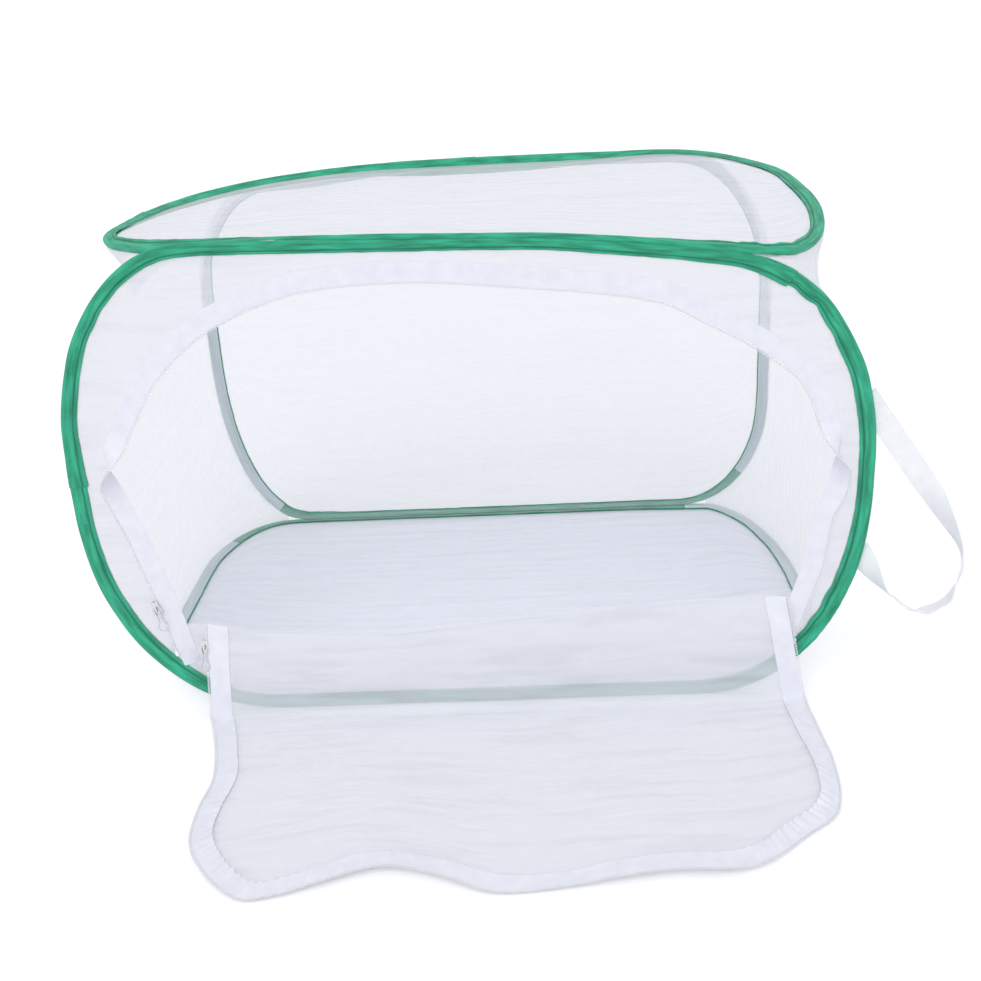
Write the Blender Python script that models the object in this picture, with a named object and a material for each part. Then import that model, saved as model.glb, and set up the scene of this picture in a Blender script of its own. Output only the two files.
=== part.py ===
"""A pop-up insect cage: four netted wire panels sewn into a box, two soft netted ends, and a zipped door.

Metres, +Z up, +Y to the back. The origin is on the floor under the middle of the base panel.
The cage lies on its long side with the door unzipped and folded down in front, as it is used.
"""

import math

import bmesh
import bpy
import numpy as np
from mathutils import Vector
from mathutils.geometry import delaunay_2d_cdt

# Sewn panels
PANEL_SIZE = 0.398  # each panel's short side, over its binding
BAND_WIDTH = 0.0125  # width of the binding, seen flat
BAND_HALF = 0.0021  # half its thickness over the wire
LIP_HALF = 0.00095  # half its thickness at the sewn edge
SLIT_HALF = 0.0005  # half the gap between its two lips, which hold the netting
WIRE_RADIUS = 0.00075
WIRE_TUNNEL = 0.0016  # radius of the tunnel that the wire lies in
FERRULE_RADIUS = 0.00125
FERRULE_BORE = 0.00098
FERRULE_LENGTH = 0.016
NET_HALF = 0.00025  # half the thickness of the netting
NET_TUCK = 0.005  # from a panel's outer edge to the edge of its netting
NET_SAG_RUN = 0.030  # inside this distance from the edge the base netting lies on the floor
SEAM_GAP = 0.0004  # between two bindings sewn side by side
FIT_GAP = 0.0003  # between pieces that touch

# Reach of each panel to the left and right of the middle, and its corners, as shares of the reach
# on their side and of the panel's short side
FRONT_REACH = (0.325, 0.318)
FRONT_CORNER_SHARES = {
    "high_right": (0.456, 0.442),
    "high_left": (0.378, 0.435),
    "low_left": (0.446, 0.442),
    "low_right": (0.399, 0.447),
}
TOP_REACH = (0.310, 0.298)
TOP_CORNER_SHARES = {
    "high_right": (0.312, 0.407),
    "high_left": (0.600, 0.523),
    "low_left": (0.806, 0.364),
    "low_right": (0.208, 0.452),
}
BACK_REACH = (0.306, 0.313)
BACK_CORNER_SHARES = {
    "high_right": (0.332, 0.367),
    "high_left": (0.278, 0.294),
    "low_left": (0.275, 0.462),
    "low_right": (0.300, 0.294),
}
BASE_REACH = (0.313, 0.312)
BASE_CORNER_SHARES = {
    "high_right": (0.231, 0.477),
    "high_left": (0.249, 0.337),
    "low_left": (0.454, 0.405),
    "low_right": (0.455, 0.405),
}

# How the sprung wires warp the top of the box
SEAM_TILT = 0.010  # rise of the top front seam at the left end, and its fall at the right
SEAM_BOW = 0.005  # rise of the top back seam at the middle
CORNER_DROOP = 0.022  # fall of the top panel's front left corner

# Zip round the doorway: its tape lies flat between the twists at either side, and is turned out over
# the netting below them. Its path is given from the front panel's edges to the middle of the tape.
TAPE_WIDTH = 0.015
TAPE_HALF = 0.0004  # half its thickness
TWIST_HEIGHT_SHARE = 0.535  # of the doorway's height
TWIST_RUN = 0.056  # length over which it turns
FLIP_DEGREES = 171
COIL_WIDTH = 0.0022
COIL_HALF = 0.0010
ZIP_MARGINS = (0.035, 0.028)  # from the left and the right edge
ZIP_TOP_MARGIN = 0.024
ZIP_LOW = 0.047
ZIP_PATH_SHARES = (  # of the doorway's reach on that side, and of its height
    (-0.858, 0.00),
    (-0.90, 0.18),
    (-0.95, 0.35),
    (-1.00, 0.53),
    (-0.90, 0.712),
    (-0.82, 0.80),
    (-0.68, 0.895),
    (-0.45, 0.976),
    (-0.175, 1.00),
    (0.075, 0.99),
    (0.48, 0.951),
    (0.66, 0.882),
    (0.81, 0.806),
    (0.93, 0.706),
    (1.00, 0.486),
    (0.96, 0.36),
    (0.94, 0.234),
    (0.90, 0.11),
    (0.862, 0.00),
)
ZIP_STEPS = 4  # pieces of tape between two of those points
TWIST_STEPS = 4  # pieces that each of those is cut into where it twists

# Sliders
SLIDER_LENGTH = 0.0115
SLIDER_WIDTH = 0.0085
SLIDER_NOSE_WIDTH = 0.0060
SLIDER_SIDE_SHARES = (  # of half its length, and of half its width there
    (-1.00, "nose", 1.0),
    (-0.30, "nose", 1.0),
    (0.40, "mouth", 1.0),
    (0.85, "mouth", 1.0),
    (1.00, "mouth", 0.6),
)
PLATE_THICKNESS = 0.0009
CHANNEL_HALF = 0.0014
POST_WIDTH = 0.0014
POST_LENGTH = 0.0040
BAIL_SPAN = 0.0050  # along the slider
BAIL_WIDTH = 0.0016
BAIL_RISE = 0.0026
BAIL_BAR = 0.0009
JOIN_DEPTH = 0.0003  # how far the shapes of a slider run into each other
PULL_LENGTH = 0.0210
PULL_EYE_WIDTH = 0.0042
PULL_STEM_WIDTH = 0.0026
PULL_RING_WIDTH = 0.0074
PULL_WIRE = 0.0006  # radius of the pull's wire
PULL_SHARES = (  # of the pull's length, and of the width there
    (0.00, "eye", 1.0),
    (0.16, "eye", 1.0),
    (0.34, "stem", 1.0),
    (0.62, "stem", 1.0),
    (0.74, "ring", 1.0),
    (0.90, "ring", 1.0),
    (1.00, "ring", 0.5),
)
UPPER_SLIDER_HEIGHT = 0.105
LOWER_SLIDER_SHARE = 0.19  # of the way down the hanging cloth
STOP_LENGTH = 0.0040
STOP_WALL = 0.0006

# Door flap, measured down the cloth from the fold
FOLD_HEIGHT = 0.080
FOLD_MARGINS = (0.059, 0.047)  # from the doorway's reach to the two ends of the fold
CLOTH_OUT = 0.0017  # from the front panel's middle plane to the cloth where it leaves the fold
HINGE_OUT = 0.0026  # from that plane to the fold's axis, so that the closed cloth clears the zip
FLOOR_LINE_OUT = 0.0142  # from that plane to where the cloth meets the floor
FLOOR_LINE_GAP = 0.0012  # either side of that line, between the hanging cloth and the cloth on the floor
FLAP_MARGIN = 0.020  # from the doorway's reach to the flap's on the floor
FLAP_SHORTFALL = 0.060  # from the top of the doorway to the flap's free edge, when it is closed
FLAP_LEFT_SHARES = (  # of the flap's reach on that side, and of its length along the floor
    (-0.870, 0.000),
    (-0.815, 0.210),
    (-0.785, 0.390),
    (-0.795, 0.560),
    (-0.780, 0.735),
    (-0.690, 0.900),
    (-0.600, 0.985),
)
FLAP_FAR_SHARES = (
    (-0.600, 0.985),
    (-0.500, 0.960),
    (-0.400, 0.920),
    (-0.285, 0.870),
    (-0.195, 0.875),
    (-0.080, 0.920),
    (0.035, 0.975),
    (0.195, 0.965),
    (0.480, 0.920),
    (0.640, 0.920),
    (0.745, 0.875),
    (0.865, 0.755),
)
FLAP_RIGHT_SHARES = (
    (0.965, 0.000),
    (0.985, 0.105),
    (1.000, 0.210),
    (1.000, 0.390),
    (0.985, 0.565),
    (0.950, 0.675),
    (0.865, 0.755),
)
WAVE_HEIGHT = 0.0060  # of the folds along the flap's free edge
WAVE_LENGTH = 0.205
WAVE_CREST = -0.065
HANG_WAVE = 0.0020  # of the folds down the hanging part

# Carry strap, sewn into the right front seam at its two ends
STRAP_WIDTH = 0.019
STRAP_HALF = 0.0006
STRAP_REACH = 0.079  # out from the panel's edge
STRAP_HIGH = 0.2585
STRAP_LOW = 0.083
STRAP_SHARES = (
    (-0.070, 1.017),
    (0.190, 0.844),
    (0.405, 0.697),
    (0.580, 0.578),
    (0.740, 0.448),
    (0.870, 0.331),
    (0.920, 0.244),
    (0.920, 0.163),
    (0.847, 0.056),
    (0.730, 0.006),
    (0.600, -0.020),
    (0.500, -0.020),
    (0.325, 0.034),
    (0.197, 0.084),
    (0.060, 0.133),
    (-0.040, 0.232),
)
STRAP_TURN_DEGREES = (0, 0, 3, 30, 60, 86, 108, 122, 104, 106, 99, 117, 96, 94, 98, 112)
STRAP_STEPS = 3

# Soft ends
FILM_HALF = 0.00025
FILM_OUT = 0.0021  # from a binding's outer edge to the sewn edge of the end netting
FILM_START = 0.004  # how far two panels have parted where the end netting starts
FILM_HALF_COUNT = 8  # points on the sewn edge from there to a panel's tip
FILM_PASSES = 300
SEAM_SAMPLES = 300  # places tried along a seam for that start

# Facets
MERGE = 1e-7  # points nearer than this are one
CORNER_STEPS = 8
LONG_STEPS = 4
SHORT_STEPS = 1
HANG_ROWS = 5
FOLD_POINTS = 8
FLAP_STEPS = 2
FLAP_COLUMNS = 21
FLAP_GRID = 0.026  # between the points of the flap's netting
SMOOTH_DEGREES = 35
TUNNEL_POINTS = 6
WIRE_SIDES = 6
FERRULE_SIDES = 8

# Places that follow from the sizes above
FRONT_Y = -PANEL_SIZE / 2 - SEAM_GAP - BAND_HALF
TOP_START_Y = FRONT_Y - BAND_HALF
BACK_Y = TOP_START_Y + PANEL_SIZE + SEAM_GAP + BAND_HALF
TOP_Z = PANEL_SIZE + SEAM_GAP + BAND_HALF
BACK_START_Z = 2 * BAND_HALF + SEAM_GAP
SEAM_OFFSET = BAND_HALF + SEAM_GAP / 2
FLOOR_LINE_Y = FRONT_Y - FLOOR_LINE_OUT

ZIP_REACHES = (FRONT_REACH[0] - ZIP_MARGINS[0], FRONT_REACH[1] - ZIP_MARGINS[1])
ZIP_HIGH = PANEL_SIZE - ZIP_TOP_MARGIN
TWIST_HEIGHT = ZIP_LOW + TWIST_HEIGHT_SHARE * (ZIP_HIGH - ZIP_LOW)
FOLD_REACHES = (ZIP_REACHES[0] - FOLD_MARGINS[0], ZIP_REACHES[1] - FOLD_MARGINS[1])
FLAP_REACHES = (ZIP_REACHES[0] - FLAP_MARGIN, ZIP_REACHES[1] - FLAP_MARGIN)
FLAP_LENGTH = ZIP_HIGH - FOLD_HEIGHT - FLAP_SHORTFALL

HINGES = {
    "front_hinge": Vector((0, FRONT_Y + SEAM_OFFSET, 2 * BAND_HALF + SEAM_GAP / 2)),
    "back_hinge": Vector((0, BACK_Y + SEAM_OFFSET, 2 * BAND_HALF + SEAM_GAP / 2)),
    "top_hinge": Vector((0, FRONT_Y - SEAM_OFFSET, PANEL_SIZE + SEAM_GAP / 2)),
    "fold_hinge": Vector((0, FRONT_Y - HINGE_OUT, FOLD_HEIGHT)),
    "floor_hinge": Vector((0, FLOOR_LINE_Y, COIL_HALF)),
}


# Materials
def linear(channel):
    """One sRGB channel from 0 to 1 as linear light."""
    return channel / 12.92 if channel <= 0.04045 else ((channel + 0.055) / 1.055) ** 2.4


def finish(name, hex_colour, roughness, metallic=0.0):
    material = bpy.data.materials.new(name)
    material.use_nodes = True
    shader = material.node_tree.nodes["Principled BSDF"]
    rgb = [linear(int(hex_colour[i : i + 2], 16) / 255) for i in (0, 2, 4)]
    shader.inputs["Base Color"].default_value = (*rgb, 1.0)
    shader.inputs["Roughness"].default_value = roughness
    shader.inputs["Metallic"].default_value = metallic
    return material


# Objects
def add_object(name, mesh_builder, material, hinge=None, smooth=True):
    """Makes a node of a bmesh in world places, hung on the empty at its hinge if it has one."""
    bmesh.ops.recalc_face_normals(mesh_builder, faces=mesh_builder.faces)
    pivot = hinge.location if hinge else Vector((0, 0, 0))
    bmesh.ops.translate(mesh_builder, verts=mesh_builder.verts, vec=-pivot)
    mesh = bpy.data.meshes.new(name)
    mesh_builder.to_mesh(mesh)
    mesh_builder.free()
    if smooth:
        mesh.shade_smooth()
        mesh.set_sharp_from_angle(angle=math.radians(SMOOTH_DEGREES))
    mesh.materials.append(material)
    obj = bpy.data.objects.new(name, mesh)
    obj.parent = hinge
    bpy.context.scene.collection.objects.link(obj)
    return obj


def add_hinge(name, place):
    empty = bpy.data.objects.new(name, None)
    empty.location = place
    empty.empty_display_type = "ARROWS"
    bpy.context.scene.collection.objects.link(empty)
    return empty


# Shapes
def tube(sections, closed):
    """A bmesh skinned over sections of equal count, closed into a ring or capped at its two ends."""
    bm = bmesh.new()
    rings = [[bm.verts.new(point) for point in section] for section in sections]
    count = len(rings[0])
    for i in range(len(rings) if closed else len(rings) - 1):
        first, second = rings[i], rings[(i + 1) % len(rings)]
        for j in range(count):
            bm.faces.new((first[j], second[j], second[(j + 1) % count], first[(j + 1) % count]))
    if not closed:
        bm.faces.new(rings[0])
        bm.faces.new(rings[-1][::-1])
    return bm


def cloth_sheet(grid, half_thickness):
    """A closed bmesh either side of a grid of points, given as rows of Vectors."""
    rows, columns = len(grid), len(grid[0])
    normals = []
    for i in range(rows):
        line = []
        for j in range(columns):
            along = grid[i][min(j + 1, columns - 1)] - grid[i][max(j - 1, 0)]
            across = grid[min(i + 1, rows - 1)][j] - grid[max(i - 1, 0)][j]
            line.append(along.cross(across).normalized() * half_thickness)
        normals.append(line)
    bm = bmesh.new()
    front = [[bm.verts.new(grid[i][j] + normals[i][j]) for j in range(columns)] for i in range(rows)]
    back = [[bm.verts.new(grid[i][j] - normals[i][j]) for j in range(columns)] for i in range(rows)]
    for i in range(rows - 1):
        for j in range(columns - 1):
            bm.faces.new((front[i][j], front[i][j + 1], front[i + 1][j + 1], front[i + 1][j]))
            bm.faces.new((back[i][j], back[i + 1][j], back[i + 1][j + 1], back[i][j + 1]))
    rim = [(0, j) for j in range(columns)] + [(i, columns - 1) for i in range(1, rows)]
    rim += [(rows - 1, j) for j in range(columns - 2, -1, -1)] + [(i, 0) for i in range(rows - 2, 0, -1)]
    for (i, j), (k, m) in zip(rim, rim[1:] + rim[:1]):
        bm.faces.new((front[i][j], back[i][j], back[k][m], front[k][m]))
    return bm


def smooth_curve(points, steps):
    """A Catmull-Rom curve through points of any dimension, as an array."""
    knots = np.array(points, float)
    knots = np.vstack([2 * knots[0] - knots[1], knots, 2 * knots[-1] - knots[-2]])
    found = []
    for i in range(1, len(knots) - 2):
        p0, p1, p2, p3 = knots[i - 1 : i + 3]
        for t in np.arange(steps) / steps:
            bend = (2 * p0 - 5 * p1 + 4 * p2 - p3) * t**2 + (3 * p1 - p0 - 3 * p2 + p3) * t**3
            found.append(0.5 * (2 * p1 + (p2 - p0) * t + bend))
    found.append(knots[-2])
    return np.array(found)


def left_normals(path):
    """Unit normals to the left of a flat path's direction."""
    along = np.gradient(path, axis=0)
    along /= np.linalg.norm(along, axis=1)[:, None]
    return np.stack([-along[:, 1], along[:, 0]], axis=1)


def lengths_along(path):
    return np.concatenate([[0.0], np.cumsum(np.linalg.norm(np.diff(path, axis=0), axis=1))])


# Panels
def seam_rise(x):
    """Height of the top front seam over a level one."""
    return -SEAM_TILT * min(max(2 * x / sum(FRONT_REACH), -1), 1)


def seam_bow(x):
    """Height of the top back seam over a level one."""
    return SEAM_BOW * (1 - min(abs(2 * x / sum(BACK_REACH)), 1) ** 2)


def warp_front(x, s):
    return Vector((0, 0, seam_rise(x) * s / PANEL_SIZE))


def warp_back(x, s):
    return Vector((0, 0, seam_bow(x) * s / PANEL_SIZE))


def warp_top(x, s):
    back_share = s / PANEL_SIZE
    droop = CORNER_DROOP * min(max(-x / TOP_REACH[0], 0), 1) ** 3
    return Vector((0, 0, (seam_rise(x) - droop) * (1 - back_share) + seam_bow(x) * back_share))


def warp_base(x, s):
    return Vector((0, 0, 0))


def corner_sizes(shares, reach):
    """How far each corner of a panel reaches along it and up it."""
    sizes = {}
    for corner, (along, up) in shares.items():
        sizes[corner] = (along * reach[corner.endswith("right")], up * PANEL_SIZE)
    return sizes


PANELS = {
    "front": {
        "reach": FRONT_REACH,
        "corners": corner_sizes(FRONT_CORNER_SHARES, FRONT_REACH),
        "start": Vector((0, FRONT_Y, 0)),
        "up": Vector((0, 0, 1)),
        "out": Vector((0, -1, 0)),
        "warp": warp_front,
    },
    "top": {
        "reach": TOP_REACH,
        "corners": corner_sizes(TOP_CORNER_SHARES, TOP_REACH),
        "start": Vector((0, TOP_START_Y, TOP_Z)),
        "up": Vector((0, 1, 0)),
        "out": Vector((0, 0, 1)),
        "warp": warp_top,
    },
    "back": {
        "reach": BACK_REACH,
        "corners": corner_sizes(BACK_CORNER_SHARES, BACK_REACH),
        "start": Vector((0, BACK_Y, BACK_START_Z)),
        "up": Vector((0, 0, 1)),
        "out": Vector((0, 1, 0)),
        "warp": warp_back,
    },
    "base": {
        "reach": BASE_REACH,
        "corners": corner_sizes(BASE_CORNER_SHARES, BASE_REACH),
        "start": Vector((0, -PANEL_SIZE / 2, BAND_HALF)),
        "up": Vector((0, 1, 0)),
        "out": Vector((0, 0, -1)),
        "warp": warp_base,
    },
}


def on_panel(panel, x, s, out=0.0):
    """The point x along a panel, s up or back from its low edge, and out from its middle plane."""
    return panel["start"] + Vector((x, 0, 0)) + panel["up"] * s + panel["out"] * out + panel["warp"](x, s)


def corner_arc(panel, corner, inset, degrees):
    """Points of one rounded corner, moved in from the panel's edge, at these angles round it."""
    left, right = panel["reach"]
    across, up = panel["corners"][corner]
    centre_x = right - across if corner.endswith("right") else across - left
    centre_s = PANEL_SIZE - up if corner.startswith("high") else up
    points = []
    for angle in np.radians(degrees):
        normal = np.array([math.cos(angle) / across, math.sin(angle) / up])
        normal /= np.linalg.norm(normal)
        edge = np.array([centre_x + across * math.cos(angle), centre_s + up * math.sin(angle)])
        points.append(edge - normal * inset)
    return points


def panel_outline(panel, inset=0.0):
    """The closed outline of a panel, moved in from its edge, as (x, s) points with equal counts."""
    turns = (("high_right", 0), ("high_left", 90), ("low_left", 180), ("low_right", 270))
    arcs = [corner_arc(panel, c, inset, np.linspace(a, a + 90, CORNER_STEPS + 1)) for c, a in turns]
    points = []
    for arc, following, steps in zip(arcs, arcs[1:] + arcs[:1], (LONG_STEPS, SHORT_STEPS) * 2):
        points += arc
        for i in range(1, steps):
            points.append(arc[-1] + (following[0] - arc[-1]) * i / steps)
    return points


def band_section():
    """The binding's folded section, as (inward from the edge, out from the middle) pairs."""
    outer = [math.radians(a) for a in (90, 45, 0, -45, -90)]
    mouth = math.degrees(math.asin(SLIT_HALF / WIRE_TUNNEL))
    tunnel = np.radians(np.linspace(mouth - 180, 180 - mouth, TUNNEL_POINTS))
    section = [(BAND_HALF - BAND_HALF * math.cos(a), BAND_HALF * math.sin(a)) for a in outer]
    section += [(BAND_WIDTH, -LIP_HALF), (BAND_WIDTH, -SLIT_HALF)]
    section += [(BAND_HALF - WIRE_TUNNEL * math.cos(a), WIRE_TUNNEL * math.sin(a)) for a in tunnel]
    section += [(BAND_WIDTH, SLIT_HALF), (BAND_WIDTH, LIP_HALF)]
    return section


def swept_round_panel(panel, section):
    """A closed ring of one section swept round a panel's outline."""
    lines = [panel_outline(panel, inward) for inward, _ in section]
    sections = []
    for i in range(len(lines[0])):
        sections.append([on_panel(panel, *lines[k][i], out) for k, (_, out) in enumerate(section)])
    return tube(sections, closed=True)


def round_section(radius, sides):
    """A round section about the wire's centre, as (inward, out) pairs."""
    turns = [2 * math.pi * (k + 0.5) / sides for k in range(sides)]
    return [(BAND_HALF - radius * math.cos(a), radius * math.sin(a)) for a in turns]


def ferrule(panel):
    """The short crimped sleeve that joins the wire's two ends, in the middle of the panel's high edge."""
    outer = round_section(FERRULE_RADIUS, FERRULE_SIDES)
    inner = round_section(FERRULE_BORE, FERRULE_SIDES)
    bm = bmesh.new()
    rings = []
    for x in (-FERRULE_LENGTH / 2, FERRULE_LENGTH / 2):
        for section in (outer, inner):
            places = [on_panel(panel, x, PANEL_SIZE - inward, out) for inward, out in section]
            rings.append([bm.verts.new(place) for place in places])
    left_outer, left_inner, right_outer, right_inner = rings
    around = (left_outer, right_outer, right_inner, left_inner)
    for a, b in zip(around, around[1:] + around[:1]):
        for j in range(FERRULE_SIDES):
            k = (j + 1) % FERRULE_SIDES
            bm.faces.new((a[j], b[j], b[k], a[k]))
    return bm


def plain_net(panel, sag):
    """A panel's netting: rings from its tucked edge inwards, both faces, sagging where it may."""
    insets = (NET_TUCK, BAND_WIDTH + SEAM_GAP, NET_SAG_RUN)
    sags = (0.0, 0.0, sag)
    rings = []
    for inset, drop in zip(insets, sags):
        rings.append([(x, s, drop) for x, s in panel_outline(panel, inset)])
    bm = bmesh.new()
    sides = []
    for side in (1, -1):
        layer = []
        for ring in rings:
            places = [on_panel(panel, x, s, drop + side * NET_HALF) for x, s, drop in ring]
            layer.append([bm.verts.new(place) for place in places])
        sides.append(layer)
        for a, b in zip(layer, layer[1:]):
            for j in range(len(a)):
                k = (j + 1) % len(a)
                bm.faces.new((a[j], a[k], b[k], b[j]))
        fill_across(bm, layer[-1])
    top_edge, bottom_edge = sides[0][0], sides[1][0]
    for j in range(len(top_edge)):
        k = (j + 1) % len(top_edge)
        bm.faces.new((top_edge[j], bottom_edge[j], bottom_edge[k], top_edge[k]))
    return bm


def fill_across(bm, ring):
    """Closes a panel's innermost ring with strips that run from its low edge to its high edge."""
    low_left = 2 * CORNER_STEPS + LONG_STEPS + SHORT_STEPS
    half = len(ring) // 2
    high = [ring[low_left - 1 - i] for i in range(half)]
    low = [ring[low_left + i] for i in range(half)]
    for i in range(half - 1):
        bm.faces.new((high[i], high[i + 1], low[i + 1], low[i]))


# Zip
def sided(share, reaches):
    """A share of the reach on its own side: left where it is negative, right where it isn't."""
    return share * reaches[share > 0]


def ease(share):
    """A smooth step from 0 to 1."""
    share = np.clip(share, 0, 1)
    return share * share * (3 - 2 * share)


def zip_line():
    """The zip on the front panel: for each section its sewn edge, the way it stands and its thickness.

    Places are (along the panel, up the panel, out of it). The path runs clockwise round the doorway.
    """
    height = ZIP_HIGH - ZIP_LOW
    knots = [(sided(a, ZIP_REACHES), ZIP_LOW + b * height) for a, b in ZIP_PATH_SHARES]
    path = smooth_curve(knots, ZIP_STEPS * TWIST_STEPS)
    turn = math.radians(FLIP_DEGREES) * ease((TWIST_HEIGHT - path[:, 1:]) / TWIST_RUN + 1 / 2)
    flat, standing = np.cos(turn), np.sin(turn)
    outward = np.pad(left_normals(path), ((0, 0), (0, 1)))
    upright = np.array([[0, 0, 1]])
    lift = (NET_HALF + FIT_GAP + TAPE_HALF) * (1 - flat) / 2
    twisting = abs(path[:, 1] - TWIST_HEIGHT) < TWIST_RUN / 2
    kept = twisting | (np.arange(len(path)) % TWIST_STEPS == 0)
    return {
        "kept": kept,
        "reached": lengths_along(path),
        "sewn": np.pad(path, ((0, 0), (0, 1))) + outward * flat * TAPE_WIDTH / 2 + upright * lift,
        "across": upright * standing - outward * flat,
        "thick": outward * standing + upright * flat,
    }


def on_zip(line, length, across, out=0.0):
    """The point on the zip this far along it, across it from its sewn edge, and out of its face."""
    def reading(key):
        return np.array([np.interp(length, line["reached"], values) for values in line[key].T])

    place = reading("sewn") + reading("across") * across + reading("thick") * out
    return on_panel(PANELS["front"], *place)


def zip_strip(line, lengths, near, far, half):
    """A closed strip of the zip between two distances from its sewn edge."""
    corners = ((near, -half), (far, -half), (far, half), (near, half))
    return tube([[on_zip(line, length, *corner) for corner in corners] for length in lengths], closed=False)


def front_net(line):
    """The front netting, with the doorway cut out between the zip's sewn edge and the door's fold."""
    panel = PANELS["front"]
    outward = left_normals(line["sewn"][:, :2])
    sewn = (line["sewn"][:, :2] + outward * FIT_GAP)[line["kept"]]
    edge = [point for point in sewn if point[1] > FOLD_HEIGHT]
    fold = [(x, FOLD_HEIGHT - FIT_GAP) for x in np.linspace(edge[-1][0], edge[0][0], FOLD_POINTS)]
    border = panel_outline(panel, NET_TUCK)
    return filled_sheet(border, edge[1:-1] + fold, [], lambda *place: on_panel(panel, *place))


def is_inside(point, ring):
    """Whether a flat point lies inside a closed ring, by the crossings to its right."""
    crossings = 0
    for (x1, y1), (x2, y2) in zip(ring, ring[1:] + ring[:1]):
        if (y1 > point[1]) != (y2 > point[1]):
            crossings += point[0] < x1 + (x2 - x1) * (point[1] - y1) / (y2 - y1)
    return crossings % 2 == 1


def filled_sheet(border, hole, inside, place):
    """A closed sheet of netting within one ring and round another, which also runs through loose points."""
    points, edges = [], []
    for ring in (border, hole):
        first = len(points)
        points += [Vector(point) for point in ring]
        edges += [(first + k, first + (k + 1) % len(ring)) for k in range(len(ring))]
    points += [Vector(point) for point in inside]
    flat, _, faces, _, _, _ = delaunay_2d_cdt(points, edges, [], 1, MERGE)
    bm = bmesh.new()
    front = [bm.verts.new(place(*point, NET_HALF)) for point in flat]
    back = [bm.verts.new(place(*point, -NET_HALF)) for point in flat]
    for a, b, c in faces:
        if hole and is_inside((flat[a] + flat[b] + flat[c]) / 3, hole):
            continue
        bm.faces.new((front[a], front[b], front[c]))
        bm.faces.new((back[c], back[b], back[a]))
    for a, b in edges:
        bm.faces.new((front[a], front[b], back[b], back[a]))
    return bm


# Sliders
def coil_middle():
    """Distance from a tape's sewn edge to the middle of a slider on its coil."""
    return TAPE_WIDTH + FIT_GAP + COIL_WIDTH + FIT_GAP + POST_WIDTH / 2


def cage_slider_frame(line):
    """Place and directions of the slider on the cage's half of the zip, at its height on the left."""
    rising = line["sewn"][: len(line["sewn"]) // 4, 1]
    length = np.interp(UPPER_SLIDER_HEIGHT, rising, line["reached"][: len(rising)])
    middle = on_zip(line, length, coil_middle())
    half = SLIDER_LENGTH / 2
    along = on_zip(line, length - half, coil_middle()) - on_zip(line, length + half, coil_middle())
    out = on_zip(line, length, coil_middle(), -CHANNEL_HALF) - middle
    return slider_axes(middle, along, out)


def door_slider_frame():
    """Place and directions of the slider on the door's half of the zip, on the hanging cloth."""
    outside = TAPE_WIDTH - coil_middle()
    half = SLIDER_LENGTH / 2 / FOLD_HEIGHT
    middle, below, above = (
        on_hang_side(-1, LOWER_SLIDER_SHARE + step, outside) for step in (0, half, -half)
    )
    return slider_axes(middle, below - above, Vector((0, -1, 0)))


def slider_axes(middle, along, out):
    along = along.normalized()
    across = along.cross(out).normalized()
    return {"middle": middle, "along": along, "across": across, "out": across.cross(along)}


def at_slider(frame, along, across, out):
    return frame["middle"] + frame["along"] * along + frame["across"] * across + frame["out"] * out


def slab(frame, outline, low, high):
    """A closed prism over an outline of (along, across) points, between two heights."""
    bottom = [at_slider(frame, u, v, low) for u, v in outline]
    top = [at_slider(frame, u, v, high) for u, v in outline]
    return tube([bottom, top], closed=False)


def slider_outline():
    """A slider's plate: wide where the two tapes enter, narrow at its nose, with cut corners."""
    halves = {"nose": SLIDER_NOSE_WIDTH / 2, "mouth": SLIDER_WIDTH / 2}
    side = [(a * SLIDER_LENGTH / 2, b * halves[part]) for a, part, b in SLIDER_SIDE_SHARES]
    return side + [(along, -across) for along, across in side[::-1]]


def united(shapes):
    """One bmesh joined from several closed ones by exact Booleans."""
    objects = []
    for i, bm in enumerate(shapes):
        bmesh.ops.recalc_face_normals(bm, faces=bm.faces)
        mesh = bpy.data.meshes.new(f"piece_{i}")
        bm.to_mesh(mesh)
        bm.free()
        obj = bpy.data.objects.new(f"piece_{i}", mesh)
        bpy.context.scene.collection.objects.link(obj)
        objects.append(obj)
    base = objects[0]
    for other in objects[1:]:
        modifier = base.modifiers.new("join", "BOOLEAN")
        modifier.operation = "UNION"
        modifier.object = other
    graph = bpy.context.evaluated_depsgraph_get()
    evaluated = base.evaluated_get(graph)
    joined = bmesh.new()
    joined.from_mesh(evaluated.to_mesh())
    evaluated.to_mesh_clear()
    for obj in objects:
        mesh = obj.data
        bpy.data.objects.remove(obj)
        bpy.data.meshes.remove(mesh)
    return joined


def slider_body(frame):
    """Two plates joined by a post at the divide, with the bail that the pull hangs in."""
    top_face = CHANNEL_HALF + PLATE_THICKNESS
    post_u, post_v = POST_LENGTH / 2, POST_WIDTH / 2
    post = ((-post_u, 0), (0, -post_v), (post_u, -post_v), (post_u, post_v), (0, post_v))
    foot = BAIL_SPAN / 2
    width = BAIL_WIDTH / 2
    shapes = [
        slab(frame, slider_outline(), CHANNEL_HALF, top_face),
        slab(frame, slider_outline(), -top_face, -CHANNEL_HALF),
        slab(frame, post, -CHANNEL_HALF - JOIN_DEPTH, CHANNEL_HALF + JOIN_DEPTH),
    ]
    for end in (-foot, foot - BAIL_BAR):
        leg = ((end, -width), (end + BAIL_BAR, -width), (end + BAIL_BAR, width), (end, width))
        shapes.append(slab(frame, leg, top_face - JOIN_DEPTH, top_face + BAIL_RISE - JOIN_DEPTH))
    bridge = ((-foot, -width), (foot, -width), (foot, width), (-foot, width))
    shapes.append(slab(frame, bridge, top_face + BAIL_RISE - BAIL_BAR, top_face + BAIL_RISE))
    return united(shapes)


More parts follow.
